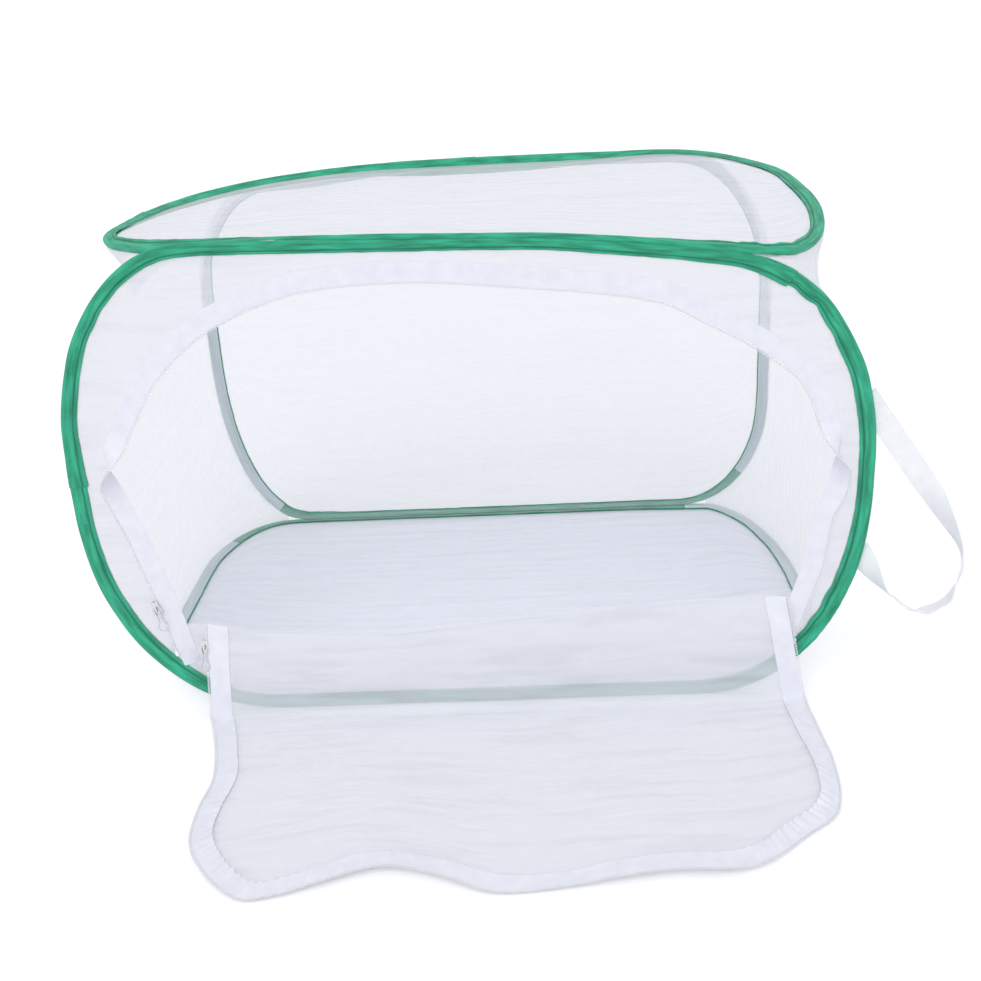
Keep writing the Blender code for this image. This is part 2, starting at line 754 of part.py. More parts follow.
def pull_hinge_place(frame):
    """The middle of the gap under a slider's bail, which the pull's wire passes through."""
    return at_slider(frame, 0.0, 0.0, CHANNEL_HALF + PLATE_THICKNESS + (BAIL_RISE - BAIL_BAR) / 2)


def slider_pull(frame):
    """A pull bent from wire: an eye round the bail, a narrow stem and a ring, hanging down the zip."""
    place = pull_hinge_place(frame)
    halves = {"eye": PULL_EYE_WIDTH / 2, "stem": PULL_STEM_WIDTH / 2, "ring": PULL_RING_WIDTH / 2}
    side = [(a * PULL_LENGTH, b * halves[part]) for a, part, b in PULL_SHARES]
    outline = side + [(a, -b) for a, b in side[::-1]]
    points = [place + frame["along"] * a + frame["across"] * b for a, b in outline]
    sections = []
    for before, point, after in zip(points[-1:] + points[:-1], points, points[1:] + points[:1]):
        sideways = (after - before).cross(frame["out"]).normalized()
        turns = [2 * math.pi * k / WIRE_SIDES for k in range(WIRE_SIDES)]
        spokes = [sideways * math.cos(a) + frame["out"] * math.sin(a) for a in turns]
        sections.append([point + spoke * PULL_WIRE for spoke in spokes])
    return tube(sections, closed=True)


# Door flap
def flap_line(shares):
    """A line of the flap on the floor, as (x, distance from the floor line) points."""
    return smooth_curve([(sided(a, FLAP_REACHES), b * FLAP_LENGTH) for a, b in shares], FLAP_STEPS)


def on_floor(x, d):
    """A point of the flap that lies on the floor on its coil, lifted by the folds along its free edge."""
    crest = (1 + math.cos(2 * math.pi * (x - WAVE_CREST) / WAVE_LENGTH)) / 2
    lift = WAVE_HEIGHT * crest * (max(d, 0) / FLAP_LENGTH) ** 2
    return Vector((x, FLOOR_LINE_Y - FLOOR_LINE_GAP - d, COIL_HALF + lift))


def on_hang(x, share):
    """A point of the flap that hangs from the fold, at a share of the way down to the floor."""
    top = PANELS["front"]["start"] + Vector((x, -CLOTH_OUT, FOLD_HEIGHT))
    low = Vector((x, FLOOR_LINE_Y, COIL_HALF + FLOOR_LINE_GAP))
    crest = (1 - math.cos(2 * math.pi * (x - WAVE_CREST) / WAVE_LENGTH)) / 2
    return top + (low - top) * share - Vector((0, HANG_WAVE * crest * math.sin(math.pi * share), 0))


def moved_line(line, outward):
    """A flap line moved away from the middle of the flap."""
    return line + left_normals(line) * outward


def flap_edge():
    """The flap's outer edge on the floor, from its left end over its far edge to its right end."""
    left = flap_line(FLAP_LEFT_SHARES)
    far = flap_line(FLAP_FAR_SHARES)
    right = flap_line(FLAP_RIGHT_SHARES)[::-1]
    return np.vstack([left, far[1:], right[1:]])


def flap_inner_line(inward):
    """The flap's edge on the floor moved in by a distance, with its ends on the floor line."""
    outer = flap_edge()
    inner = moved_line(outer, -inward)
    inner[0] = (outer[0][0] + inward, 0.0)
    inner[-1] = (outer[-1][0] - inward, 0.0)
    return inner


def flap_tape():
    lines = zip(flap_edge(), flap_inner_line(TAPE_WIDTH))
    return cloth_sheet([[on_floor(*a), on_floor(*b)] for a, b in lines], TAPE_HALF)


def flap_net():
    border = list(flap_inner_line(TAPE_WIDTH + FIT_GAP))
    inside = []
    for x in np.arange(-FLAP_REACHES[0], FLAP_REACHES[1], FLAP_GRID):
        for d in np.arange(FLAP_GRID, FLAP_LENGTH, FLAP_GRID):
            nearest = min(math.dist((x, d), point) for point in border)
            if is_inside((x, d), border) and nearest > FLAP_GRID / 2:
                inside.append((x, d))
    return filled_sheet(border, [], inside, lambda x, d, out: on_floor(x, d) + Vector((0, 0, out)))


def on_hang_side(side, share, inward):
    """A point near the hanging cloth's left or right border, moved towards its middle."""
    outer = flap_edge()
    top, low = (-FOLD_REACHES[0], outer[0][0]) if side < 0 else (FOLD_REACHES[1], outer[-1][0])
    return on_hang(top + (low - top) * share - side * inward, share)


def hanging_strip(left, right, columns, half_thickness):
    """Part of the hanging cloth between two lines, each given as (side, distance in from its border)."""
    grid = []
    for share in np.linspace(0, 1, HANG_ROWS):
        a, b = on_hang_side(left[0], share, left[1]), on_hang_side(right[0], share, right[1])
        grid.append([on_hang(a.x + (b.x - a.x) * j / (columns - 1), share) for j in range(columns)])
    return cloth_sheet(grid, half_thickness)


def coil_on_floor(outer):
    near, far = moved_line(outer, FIT_GAP), moved_line(outer, FIT_GAP + COIL_WIDTH)
    sections = []
    for a, b in zip(near, far):
        thick = Vector((0, 0, COIL_HALF))
        inner, outer_edge = on_floor(*a), on_floor(*b)
        sections.append([inner - thick, outer_edge - thick, outer_edge + thick, inner + thick])
    return tube(sections, closed=False)


def coil_on_hang(side):
    sections = []
    for share in np.linspace(0, 1, HANG_ROWS):
        near = on_hang_side(side, share, -FIT_GAP)
        far = on_hang_side(side, share, -FIT_GAP - COIL_WIDTH)
        thick = Vector((0, COIL_HALF, 0))
        sections.append([near - thick, far - thick, far + thick, near + thick])
    return tube(sections, closed=False)


def build_flap(hinges, net, tape, coil):
    fold, floor = hinges["fold_hinge"], hinges["floor_hinge"]
    add_object("door_tape_floor", flap_tape(), tape, floor)
    add_object("door_net_floor", flap_net(), net, floor)
    add_object("door_coil_floor", coil_on_floor(flap_edge()), coil, floor)
    for side, label in ((-1, "left"), (1, "right")):
        ends = sorted(((side, 0.0), (side, TAPE_WIDTH)), key=lambda end: side * end[1])
        add_object(f"door_tape_{label}", hanging_strip(*ends, 2, TAPE_HALF), tape, fold)
        add_object(f"door_coil_{label}", coil_on_hang(side), coil, fold)
    inset = TAPE_WIDTH + FIT_GAP
    middle = hanging_strip((-1, inset), (1, inset), FLAP_COLUMNS, NET_HALF)
    add_object("door_net_hanging", middle, net, fold)


# Strap
def front_edge_x(s):
    """How far right the front panel's edge reaches at a height on it."""
    high_across, high_up = PANELS["front"]["corners"]["high_right"]
    low_across, low_up = PANELS["front"]["corners"]["low_right"]
    above = max(1 - (PANEL_SIZE - s) / high_up, 0)
    below = max(1 - s / low_up, 0)
    high_loss = high_across * (1 - math.sqrt(1 - above**2))
    low_loss = low_across * (1 - math.sqrt(1 - below**2))
    return FRONT_REACH[1] - high_loss - low_loss


def strap():
    """Flat webbing that leaves the seam facing forwards and turns on edge where it comes back.

    Its back edge stays just in front of the seam that it is sewn into.
    """
    height = STRAP_HIGH - STRAP_LOW
    knots = [(FRONT_REACH[1] + a * STRAP_REACH, STRAP_LOW + b * height) for a, b in STRAP_SHARES]
    path = smooth_curve(knots, STRAP_STEPS)
    turns = np.radians(smooth_curve([(a,) for a in STRAP_TURN_DEGREES], STRAP_STEPS)[:, 0])
    half = STRAP_WIDTH / 2
    sections = []
    for point, normal, turn in zip(path, left_normals(path), turns):
        across = np.array([*normal * math.cos(turn), math.sin(turn)]) * half
        thick = np.array([*normal * -math.sin(turn), math.cos(turn)]) * STRAP_HALF
        forward = STRAP_HALF + FIT_GAP + half * math.sin(turn)
        middle = np.array([*point, forward])
        signs = ((-1, -1), (1, -1), (1, 1), (-1, 1))
        corners = [clear_of_edge(middle + across * a + thick * b) for a, b in signs]
        sections.append([on_panel(PANELS["front"], *corner) for corner in corners])
    return tube(sections, closed=False)


def clear_of_edge(corner):
    """A strap corner, moved right where it would lie over the front binding."""
    return np.array([max(corner[0], front_edge_x(corner[1]) + FIT_GAP), *corner[1:]])


# Soft ends
def corner_of(level, side):
    return f"{level}_{'right' if side > 0 else 'left'}"


def parting(panel, level, side, x):
    """How far a panel's edge has curved away from its seam at a place along it."""
    across, up = panel["corners"][corner_of(level, side)]
    into = (side * x - panel["reach"][side > 0] + across) / across
    return up * (1 - math.sqrt(1 - min(max(into, 0), 1) ** 2))


def film_start(seam, side):
    """Where along a seam its two panels have parted enough for the end netting between them."""
    (first, first_level), (second, second_level) = seam
    limit = min(PANELS[first]["reach"][side > 0], PANELS[second]["reach"][side > 0])
    for x in side * limit * np.linspace(0, 1, SEAM_SAMPLES):
        parted = parting(PANELS[first], first_level, side, x)
        parted += parting(PANELS[second], second_level, side, x)
        if parted > FILM_START:
            return x
    return side * limit


def half_border(panel, level, side, start_x):
    """The sewn edge of an end round one corner of a panel, from where it starts to the panel's tip."""
    corner = corner_of(level, side)
    across = panel["corners"][corner][0]
    into = min(max((side * start_x - panel["reach"][side > 0] + across) / across, 0), 1)
    begun = math.degrees(math.asin(into))
    first, turn = (90, -side) if level == "high" else (270, side)
    angles = np.linspace(begun, 90, FILM_HALF_COUNT + (begun > 0))[int(begun > 0) :]
    start = corner_arc(panel, corner, -FILM_OUT, [first + turn * begun])[0]
    if begun == 0:
        start[0] = start_x
    return [start, *corner_arc(panel, corner, -FILM_OUT, first + turn * angles)]


def end_border(key, side, low_seam, high_seam):
    """The sewn edge of an end along one panel, from its low edge to its high edge."""
    low = half_border(PANELS[key], "low", side, film_start(low_seam, side))
    high = half_border(PANELS[key], "high", side, film_start(high_seam, side))
    return np.array([on_panel(PANELS[key], *point) for point in low + high[::-1]])


def end_film(side):
    """One soft end: netting drawn tight between the four panels, found by relaxing a grid."""
    front_base, front_top = (("front", "low"), ("base", "low")), (("front", "high"), ("top", "low"))
    back_base, back_top = (("back", "low"), ("base", "high")), (("back", "high"), ("top", "high"))
    front = end_border("front", side, front_base, front_top)
    back = end_border("back", side, back_base, back_top)
    base = end_border("base", side, front_base, back_base)
    top = end_border("top", side, front_top, back_top)
    shares = np.linspace(0, 1, len(front))[:, None, None]
    grid = ((1 - shares) * front[None] + shares * back[None]) / 2
    grid += np.swapaxes((1 - shares) * base[None] + shares * top[None], 0, 1) / 2
    grid[0], grid[-1], grid[:, 0], grid[:, -1] = front, back, base, top
    grid[0, 0], grid[0, -1] = (front[0] + base[0]) / 2, (front[-1] + top[0]) / 2
    grid[-1, 0], grid[-1, -1] = (back[0] + base[-1]) / 2, (back[-1] + top[-1]) / 2
    for _ in range(FILM_PASSES):
        grid[1:-1, 1:-1] = (grid[:-2, 1:-1] + grid[2:, 1:-1] + grid[1:-1, :-2] + grid[1:-1, 2:]) / 4
    return cloth_sheet([[Vector(point) for point in row] for row in grid], FILM_HALF)


def main():
    for obj in list(bpy.data.objects):
        bpy.data.objects.remove(obj, do_unlink=True)
    binding = finish("green_binding", "2FAE86", 0.75)
    net = finish("white_netting", "E6E8F2", 0.85)
    tape = finish("white_tape", "F2F2F7", 0.8)
    coil = finish("white_nylon", "F6F6F8", 0.45)
    steel = finish("spring_steel", "8C9094", 0.35, 1.0)
    plated = finish("plated_zinc", "B4B6BA", 0.3, 1.0)
    webbing = finish("white_webbing", "EEEEF5", 0.85)

    hinges = {name: add_hinge(name, place) for name, place in HINGES.items()}
    carriers = {key: hinges.get(f"{key}_hinge") for key in PANELS}
    line = zip_line()
    for key, panel in PANELS.items():
        hinge = carriers[key]
        add_object(f"{key}_binding", swept_round_panel(panel, band_section()), binding, hinge)
        wire = swept_round_panel(panel, round_section(WIRE_RADIUS, WIRE_SIDES))
        add_object(f"{key}_wire", wire, steel, hinge)
        add_object(f"{key}_ferrule", ferrule(panel), steel, hinge)
        if key == "front":
            add_object("front_net", front_net(line), net, hinge)
        else:
            sag = BAND_HALF - NET_HALF if key == "base" else 0.0
            add_object(f"{key}_net", plain_net(panel, sag), net, hinge)

    front = hinges["front_hinge"]
    whole = line["reached"][line["kept"]]
    coil_near = TAPE_WIDTH + FIT_GAP
    coil_far = coil_near + COIL_WIDTH
    add_object("cage_zip_tape", zip_strip(line, whole, 0.0, TAPE_WIDTH, TAPE_HALF), tape, front)
    add_object("cage_zip_coil", zip_strip(line, whole[1:-1], coil_near, coil_far, COIL_HALF), coil, front)
    for label, end in (("left", whole[1] - FIT_GAP), ("right", whole[-2] + FIT_GAP + STOP_LENGTH)):
        ends = (end - STOP_LENGTH, end)
        stop = zip_strip(line, ends, coil_near, coil_far + STOP_WALL, COIL_HALF + STOP_WALL)
        add_object(f"zip_stop_{label}", stop, coil, front, smooth=False)
    sliders = {
        "upper": (cage_slider_frame(line), front),
        "lower": (door_slider_frame(), hinges["fold_hinge"]),
    }
    for label, (frame, carrier) in sliders.items():
        add_object(f"{label}_slider", slider_body(frame), plated, carrier, smooth=False)
        hinge = add_hinge(f"{label}_pull_hinge", pull_hinge_place(frame))
        add_object(f"{label}_pull", slider_pull(frame), plated, hinge)
        print(label, "pull hinge axis", tuple(round(value, 4) for value in frame["across"]))

    build_flap(hinges, net, tape, coil)
    add_object("carry_strap", strap(), webbing, front)
    add_object("left_end", end_film(-1), net)
    add_object("right_end", end_film(1), net)


main()
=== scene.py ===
# %% [markdown]
# # A pop-up insect cage of netting
# The real cage is four loops of spring wire, each sewn into green binding tape round a panel of
# white netting, with two soft netted ends, a zipped door and a strap. Nearly all of it is cloth.
# So this lesson cuts each cloth flat at its real size, as a sewer would, and then lays it in place.

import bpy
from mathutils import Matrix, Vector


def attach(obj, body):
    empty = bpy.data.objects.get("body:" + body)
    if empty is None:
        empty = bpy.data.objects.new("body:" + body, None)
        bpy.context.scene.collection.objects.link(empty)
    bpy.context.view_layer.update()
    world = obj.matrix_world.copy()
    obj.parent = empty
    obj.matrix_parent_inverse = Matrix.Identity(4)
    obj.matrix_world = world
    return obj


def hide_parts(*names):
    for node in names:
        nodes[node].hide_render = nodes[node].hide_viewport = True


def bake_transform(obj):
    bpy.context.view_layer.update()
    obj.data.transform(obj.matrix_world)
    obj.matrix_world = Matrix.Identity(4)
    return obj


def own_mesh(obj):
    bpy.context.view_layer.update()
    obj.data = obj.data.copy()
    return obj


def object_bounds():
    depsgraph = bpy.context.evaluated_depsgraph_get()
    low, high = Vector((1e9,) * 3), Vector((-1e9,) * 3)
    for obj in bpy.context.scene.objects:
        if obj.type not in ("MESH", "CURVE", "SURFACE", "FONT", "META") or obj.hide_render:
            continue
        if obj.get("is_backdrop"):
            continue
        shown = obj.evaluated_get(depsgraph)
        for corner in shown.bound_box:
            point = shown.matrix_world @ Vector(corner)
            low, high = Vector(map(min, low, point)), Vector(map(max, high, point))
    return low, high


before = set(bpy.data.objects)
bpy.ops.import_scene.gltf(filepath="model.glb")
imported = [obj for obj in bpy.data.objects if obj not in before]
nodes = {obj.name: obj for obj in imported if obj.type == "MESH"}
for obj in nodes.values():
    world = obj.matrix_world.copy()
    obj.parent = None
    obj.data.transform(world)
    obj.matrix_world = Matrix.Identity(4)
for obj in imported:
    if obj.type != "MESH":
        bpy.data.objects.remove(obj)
cad_box = [list(corner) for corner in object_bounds()]

import math

import bpy
import numpy as np
from mathutils import Matrix, Vector, kdtree, noise

print("nodes in the frame:", len(nodes))

# %% [markdown]
# ## Small helpers
# A Blender operator acts on whatever is selected, and the frame arrives selected. One helper makes
# one object the only selected one, and another applies its modifiers in order, as the Apply entry
# in the modifier's menu does. Colours are written as the hex values that a paint chart gives, and
# one function turns them to the linear values that a shader takes.

# %% Selecting, applying, colours
MM = 0.001


def pick(piece):
    bpy.ops.object.select_all(action="DESELECT")
    piece.select_set(True)
    bpy.context.view_layer.objects.active = piece
    return piece


def apply_modifiers(piece):
    pick(piece)
    for modifier in list(piece.modifiers):
        bpy.ops.object.modifier_apply(modifier=modifier.name)
    return piece


def points_of(piece):
    found = np.empty(len(piece.data.vertices) * 3, np.float32)
    piece.data.vertices.foreach_get("co", found)
    return found.reshape(-1, 3).astype(float)


def move_points(piece, points):
    piece.data.vertices.foreach_set("co", np.asarray(points, np.float32).ravel())
    piece.data.update()


def colour(hex_value):
    """An sRGB hex value as linear light."""
    channels = [int(hex_value[i : i + 2], 16) / 255 for i in (0, 2, 4)]
    return (*[c / 12.92 if c <= 0.04045 else ((c + 0.055) / 1.055) ** 2.4 for c in channels], 1.0)


def add(tree, kind, inputs=None, **settings):
    """A node with its settings, and with its inputs set to values or linked to other sockets."""
    node = tree.nodes.new(kind)
    for name, value in settings.items():
        setattr(node, name, value)
    for name, value in (inputs or {}).items():
        if isinstance(value, bpy.types.NodeSocket):
            tree.links.new(value, node.inputs[name])
        else:
            node.inputs[name].default_value = value
    return node


def new_material(name, hex_value, roughness, metallic=0.0):
    """A material with its shader's plain values set, and its node tree."""
    material = bpy.data.materials.new(name)
    material.use_nodes = True
    shader = material.node_tree.nodes["Principled BSDF"]
    shader.inputs["Base Color"].default_value = colour(hex_value)
    shader.inputs["Roughness"].default_value = roughness
    shader.inputs["Metallic"].default_value = metallic
    return material, material.node_tree, shader


# %% [markdown]
# ## The room
# The cage stands on a seamless white sweep. The floor takes a soft shadow and is otherwise as white
# as the page, which Light Path gives: only the rays that the camera sees, straight or by way of metal
# or a clear thing, see the extra white, so no light is added to the cage. A wide sun stands for the
# soft boxes overhead, and the world fills the shade.

# %% Rays that see white
def sees_white(tree):
    """A socket that is 1 for camera, glossy and transmission rays, and 0 for light on its way to the cage."""
    path = add(tree, "ShaderNodeLightPath")
    seen = path.outputs["Is Camera Ray"]
    for kind in ("Is Glossy Ray", "Is Transmission Ray"):
        seen = add(tree, "ShaderNodeMath", {0: seen, 1: path.outputs[kind]}, operation="MAXIMUM").outputs[0]
    return seen


# %% [markdown]
# The floor is a plain sheet just under the cage, so that no two faces lie in one plane. Its white
# paper is a matt shader, with a weak glow added that only those rays see.

# %% Floor
FLOOR_SIZE = 12.0
FLOOR_DROP = 0.3 * MM
FLOOR_GLOW = 0.2

bpy.ops.object.select_all(action="DESELECT")
bpy.ops.mesh.primitive_plane_add(size=FLOOR_SIZE, location=(0, 0, -FLOOR_DROP))
floor = bpy.context.object
floor.name = "floor"
material, tree, shader = new_material("white_paper_sweep", "F3F3F5", 0.9)
level = add(tree, "ShaderNodeMath", {0: sees_white(tree), 1: FLOOR_GLOW}, operation="MULTIPLY")
glow = add(tree, "ShaderNodeEmission", {"Color": colour("FFFFFF"), "Strength": level.outputs[0]})
both = add(tree, "ShaderNodeAddShader", {0: shader.outputs[0], 1: glow.outputs[0]})
tree.links.new(both.outputs[0], tree.nodes["Material Output"].inputs["Surface"])
floor.data.materials.append(material)
floor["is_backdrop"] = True
print("floor", FLOOR_SIZE, "m wide")

# %% [markdown]
# The world is a soft pale room for the light that falls on the cage, and a white page for the rays
# that see it. The sun is spread over 50 degrees, as wide as a soft box, so its shadow has no edge.

# %% World and lamp
ROOM_STRENGTH = 0.87
SUN_STRENGTH = 0.8
SUN_SPREAD_DEGREES = 50
SUN_TURN_DEGREES = (42, -12, 0)

world = bpy.data.worlds.new("soft_room")
bpy.context.scene.world = world
world.use_nodes = True
tree = world.node_tree
tree.nodes.clear()
room = add(tree, "ShaderNodeBackground", {"Color": colour("FAFBFF"), "Strength": ROOM_STRENGTH})
page = add(tree, "ShaderNodeBackground", {"Color": colour("FFFFFF"), "Strength": 1.0})
mixed = add(tree, "ShaderNodeMixShader", {0: sees_white(tree), 1: room.outputs[0], 2: page.outputs[0]})
add(tree, "ShaderNodeOutputWorld", {"Surface": mixed.outputs[0]})

bpy.ops.object.light_add(type="SUN", rotation=[math.radians(a) for a in SUN_TURN_DEGREES])
sun = bpy.context.object
sun.data.energy = SUN_STRENGTH
sun.data.angle = math.radians(SUN_SPREAD_DEGREES)
print("room", ROOM_STRENGTH, "sun", SUN_STRENGTH)

# %% [markdown]
# ## The camera
# The place, the tilt and the lens were found by fitting the four wire loops to the photograph. The
# camera looks down by 22 degrees from about a metre away. Its axes are worked out from the turn,
# the tilt and the roll, and set as one rotation.

# %% Camera
CAMERA_PLACE = (0.0494, -1.0907, 0.561)
CAMERA_DOWN, CAMERA_TURN, CAMERA_ROLL = 0.3898, -0.0403, -0.0554  # radians
LENS_PIXELS, FRAME_PIXELS, SENSOR_MM = 1200, 981, 36.0

ahead = Vector((
    math.sin(CAMERA_TURN) * math.cos(CAMERA_DOWN),
    math.cos(CAMERA_TURN) * math.cos(CAMERA_DOWN),
    -math.sin(CAMERA_DOWN),
))
level_right = Vector((math.cos(CAMERA_TURN), -math.sin(CAMERA_TURN), 0))
level_up = level_right.cross(ahead)
right = level_right * math.cos(CAMERA_ROLL) + level_up * math.sin(CAMERA_ROLL)
up = level_up * math.cos(CAMERA_ROLL) - level_right * math.sin(CAMERA_ROLL)
turn = Matrix((right, up, -ahead)).transposed().to_euler()
bpy.ops.object.camera_add(location=CAMERA_PLACE, rotation=turn)
camera = bpy.context.object
camera.data.sensor_width = SENSOR_MM
camera.data.lens = LENS_PIXELS / FRAME_PIXELS * SENSOR_MM
bpy.context.scene.camera = camera
bpy.context.scene.view_settings.view_transform = "Standard"
print("lens", round(camera.data.lens, 2), "mm")

# %% [markdown]
# ## Netting
# The netting is knitted polyester mesh, with holes of about a millimetre. It lets most light through,
# so it looks like a veil whose threads are a little darker than the white behind them. Its holes are
# a share of a Transparent shader, on the cloth's own UV map in metres, so that they follow every fold.
# A hole of one millimetre is finer than a pixel here, so the threads are drawn 2.4 mm apart, and a
# smooth share of white between them stands for the finer ones. A part of what the threads catch goes
# on through them, which a Translucent shader gives, and that keeps the inside of the cage bright.
# Where a noise draws creases, the netting's colour is darker, as painted shade in the creases.
#
# Netting that lies close on something darker gets no light from behind. So there are four makes of
# it: plain, a hem with next to no light through it, the same stretched thin, and the door's. The hem
# and the thin one are paler than the plain, as painted light on the shaded inside of the cage, and
# the door's is a little greyer, as painted shade.

# %% Netting materials
MESH_PITCH = 2.4 * MM
THREAD_SHARE, THREAD_SHARPNESS = 0.09, 3.0
VEIL_SPREAD = 0.05  # how much the cover of the finer threads varies
CREASE_SHADE_TONES = (0.36, 0.5)  # the noise's values between which a crease's painted shade fades
STREAKS_PER_METRE = (9.0, 75.0, 1.0)
CREASE_DEPTH = 2.0 * MM


def knitted(name, hex_value, crease_shade_hex, veil_share, through_share):
    """Netting, with the share that its finer threads cover and the share of light that goes through them."""
    material, tree, shader = new_material(name, hex_value, 0.75)
    uv = add(tree, "ShaderNodeUVMap", uv_map="cloth")
    axes = add(tree, "ShaderNodeSeparateXYZ", {0: uv.outputs["UV"]})
    threads = []
    for operation in ("ADD", "SUBTRACT"):
        slant = add(tree, "ShaderNodeMath", {0: axes.outputs["X"], 1: axes.outputs["Y"]}, operation=operation)
        phase = add(tree, "ShaderNodeMath", {0: slant.outputs[0], 1: math.pi / MESH_PITCH}, operation="MULTIPLY")
        wave = add(tree, "ShaderNodeMath", {0: phase.outputs[0]}, operation="COSINE")
        line = add(tree, "ShaderNodeMath", {0: wave.outputs[0], 1: wave.outputs[0]}, operation="MULTIPLY")
        threads.append(add(tree, "ShaderNodeMath", {0: line.outputs[0], 1: THREAD_SHARPNESS}, operation="POWER"))
    thread = add(tree, "ShaderNodeMath", {0: threads[0].outputs[0], 1: threads[1].outputs[0]}, operation="MAXIMUM")
    drawn = add(tree, "ShaderNodeMapping", {"Vector": uv.outputs["UV"], "Scale": STREAKS_PER_METRE})
    streaks = add(tree, "ShaderNodeTexNoise", {"Vector": drawn.outputs[0], "Scale": 1.0, "Detail": 4.0})
    tone = add(tree, "ShaderNodeMapRange", {0: streaks.outputs["Fac"], 1: CREASE_SHADE_TONES[0], 2: CREASE_SHADE_TONES[1]})
    limits = {1: 0.3, 2: 0.7, 3: veil_share - VEIL_SPREAD, 4: veil_share + VEIL_SPREAD}
    loose = add(tree, "ShaderNodeMapRange", {0: streaks.outputs["Fac"], **limits})
    cover = add(
        tree, "ShaderNodeMath", {0: thread.outputs[0], 1: THREAD_SHARE, 2: loose.outputs[0]}, operation="MULTIPLY_ADD"
    )
    # Where the noise draws a crease the colour is darker: painted shade in the crease.
    shade = add(
        tree, "ShaderNodeMix", {0: tone.outputs[0], 6: colour(crease_shade_hex), 7: colour(hex_value)}, data_type="RGBA"
    )
    tree.links.new(shade.outputs[2], shader.inputs["Base Color"])
    crease = add(tree, "ShaderNodeBump", {"Height": streaks.outputs["Fac"], "Strength": 0.7, "Distance": CREASE_DEPTH})
    tree.links.new(crease.outputs[0], shader.inputs["Normal"])
    through = add(tree, "ShaderNodeBsdfTranslucent", {"Color": colour(hex_value)})
    both = add(tree, "ShaderNodeMixShader", {0: through_share, 1: shader.outputs[0], 2: through.outputs[0]})
    holes = add(tree, "ShaderNodeBsdfTransparent")
    veil = add(tree, "ShaderNodeMixShader", {0: cover.outputs[0], 1: holes.outputs[0], 2: both.outputs[0]})
    tree.links.new(veil.outputs[0], tree.nodes["Material Output"].inputs["Surface"])
    material.surface_render_method = "DITHERED"
    return material


netting = knitted("knitted_polyester_mesh", "EFEFF4", "E5E6EC", 0.55, 0.35)
# The hem and the stretched netting are paler: painted light on the shaded inside of the cage.
hem_netting = knitted("knitted_mesh_hem", "F3F7FF", "EEF2FA", 0.67, 0.05)
seam_netting = knitted("knitted_mesh_stretched_thin", "F3F7FB", "E9EEF2", 0.26, 0.05)
# The door's netting is greyer: painted shade.
shaded_door_netting = knitted("knitted_mesh_of_the_door_painted_shade", "EBECF3", "E3E4EB", 0.61, 0.05)
print("netting:", [knit.name for knit in (netting, hem_netting, seam_netting, shaded_door_netting)])

# %% [markdown]
# ## Binding, zip tape and webbing
# These are woven cloths. The binding is plain-woven polyester, dyed a strong green, with a slight
# sheen and threads about 0.4 mm apart. The zip tape is a white twill, and the strap is webbing with
# ribs across it. A wave on the UV map gives each weave its bump, drawn about twice as coarse as it
# is, so that it shows. A noise, drawn out along the binding, stands for the dye's unevenness and for
# painted shade in its creases, and the binding is painted darker along its seam, as shade in the
# groove where the stitches draw it in. The folded strip's sizes come first, because they say where
# across its flat width the seam lies.

# %% Woven materials
BAND_HALF = 2.1 * MM  # half the folded strip's thickness over the wire
BAND_REACH = 10.4 * MM  # from the wire's middle to the lips
SEAM_INSET = BAND_REACH - 3.2 * MM
BAND_FLAT = 2 * BAND_REACH + math.pi * BAND_HALF
SEAM_FLAT = SEAM_INSET + math.pi / 2 * BAND_HALF


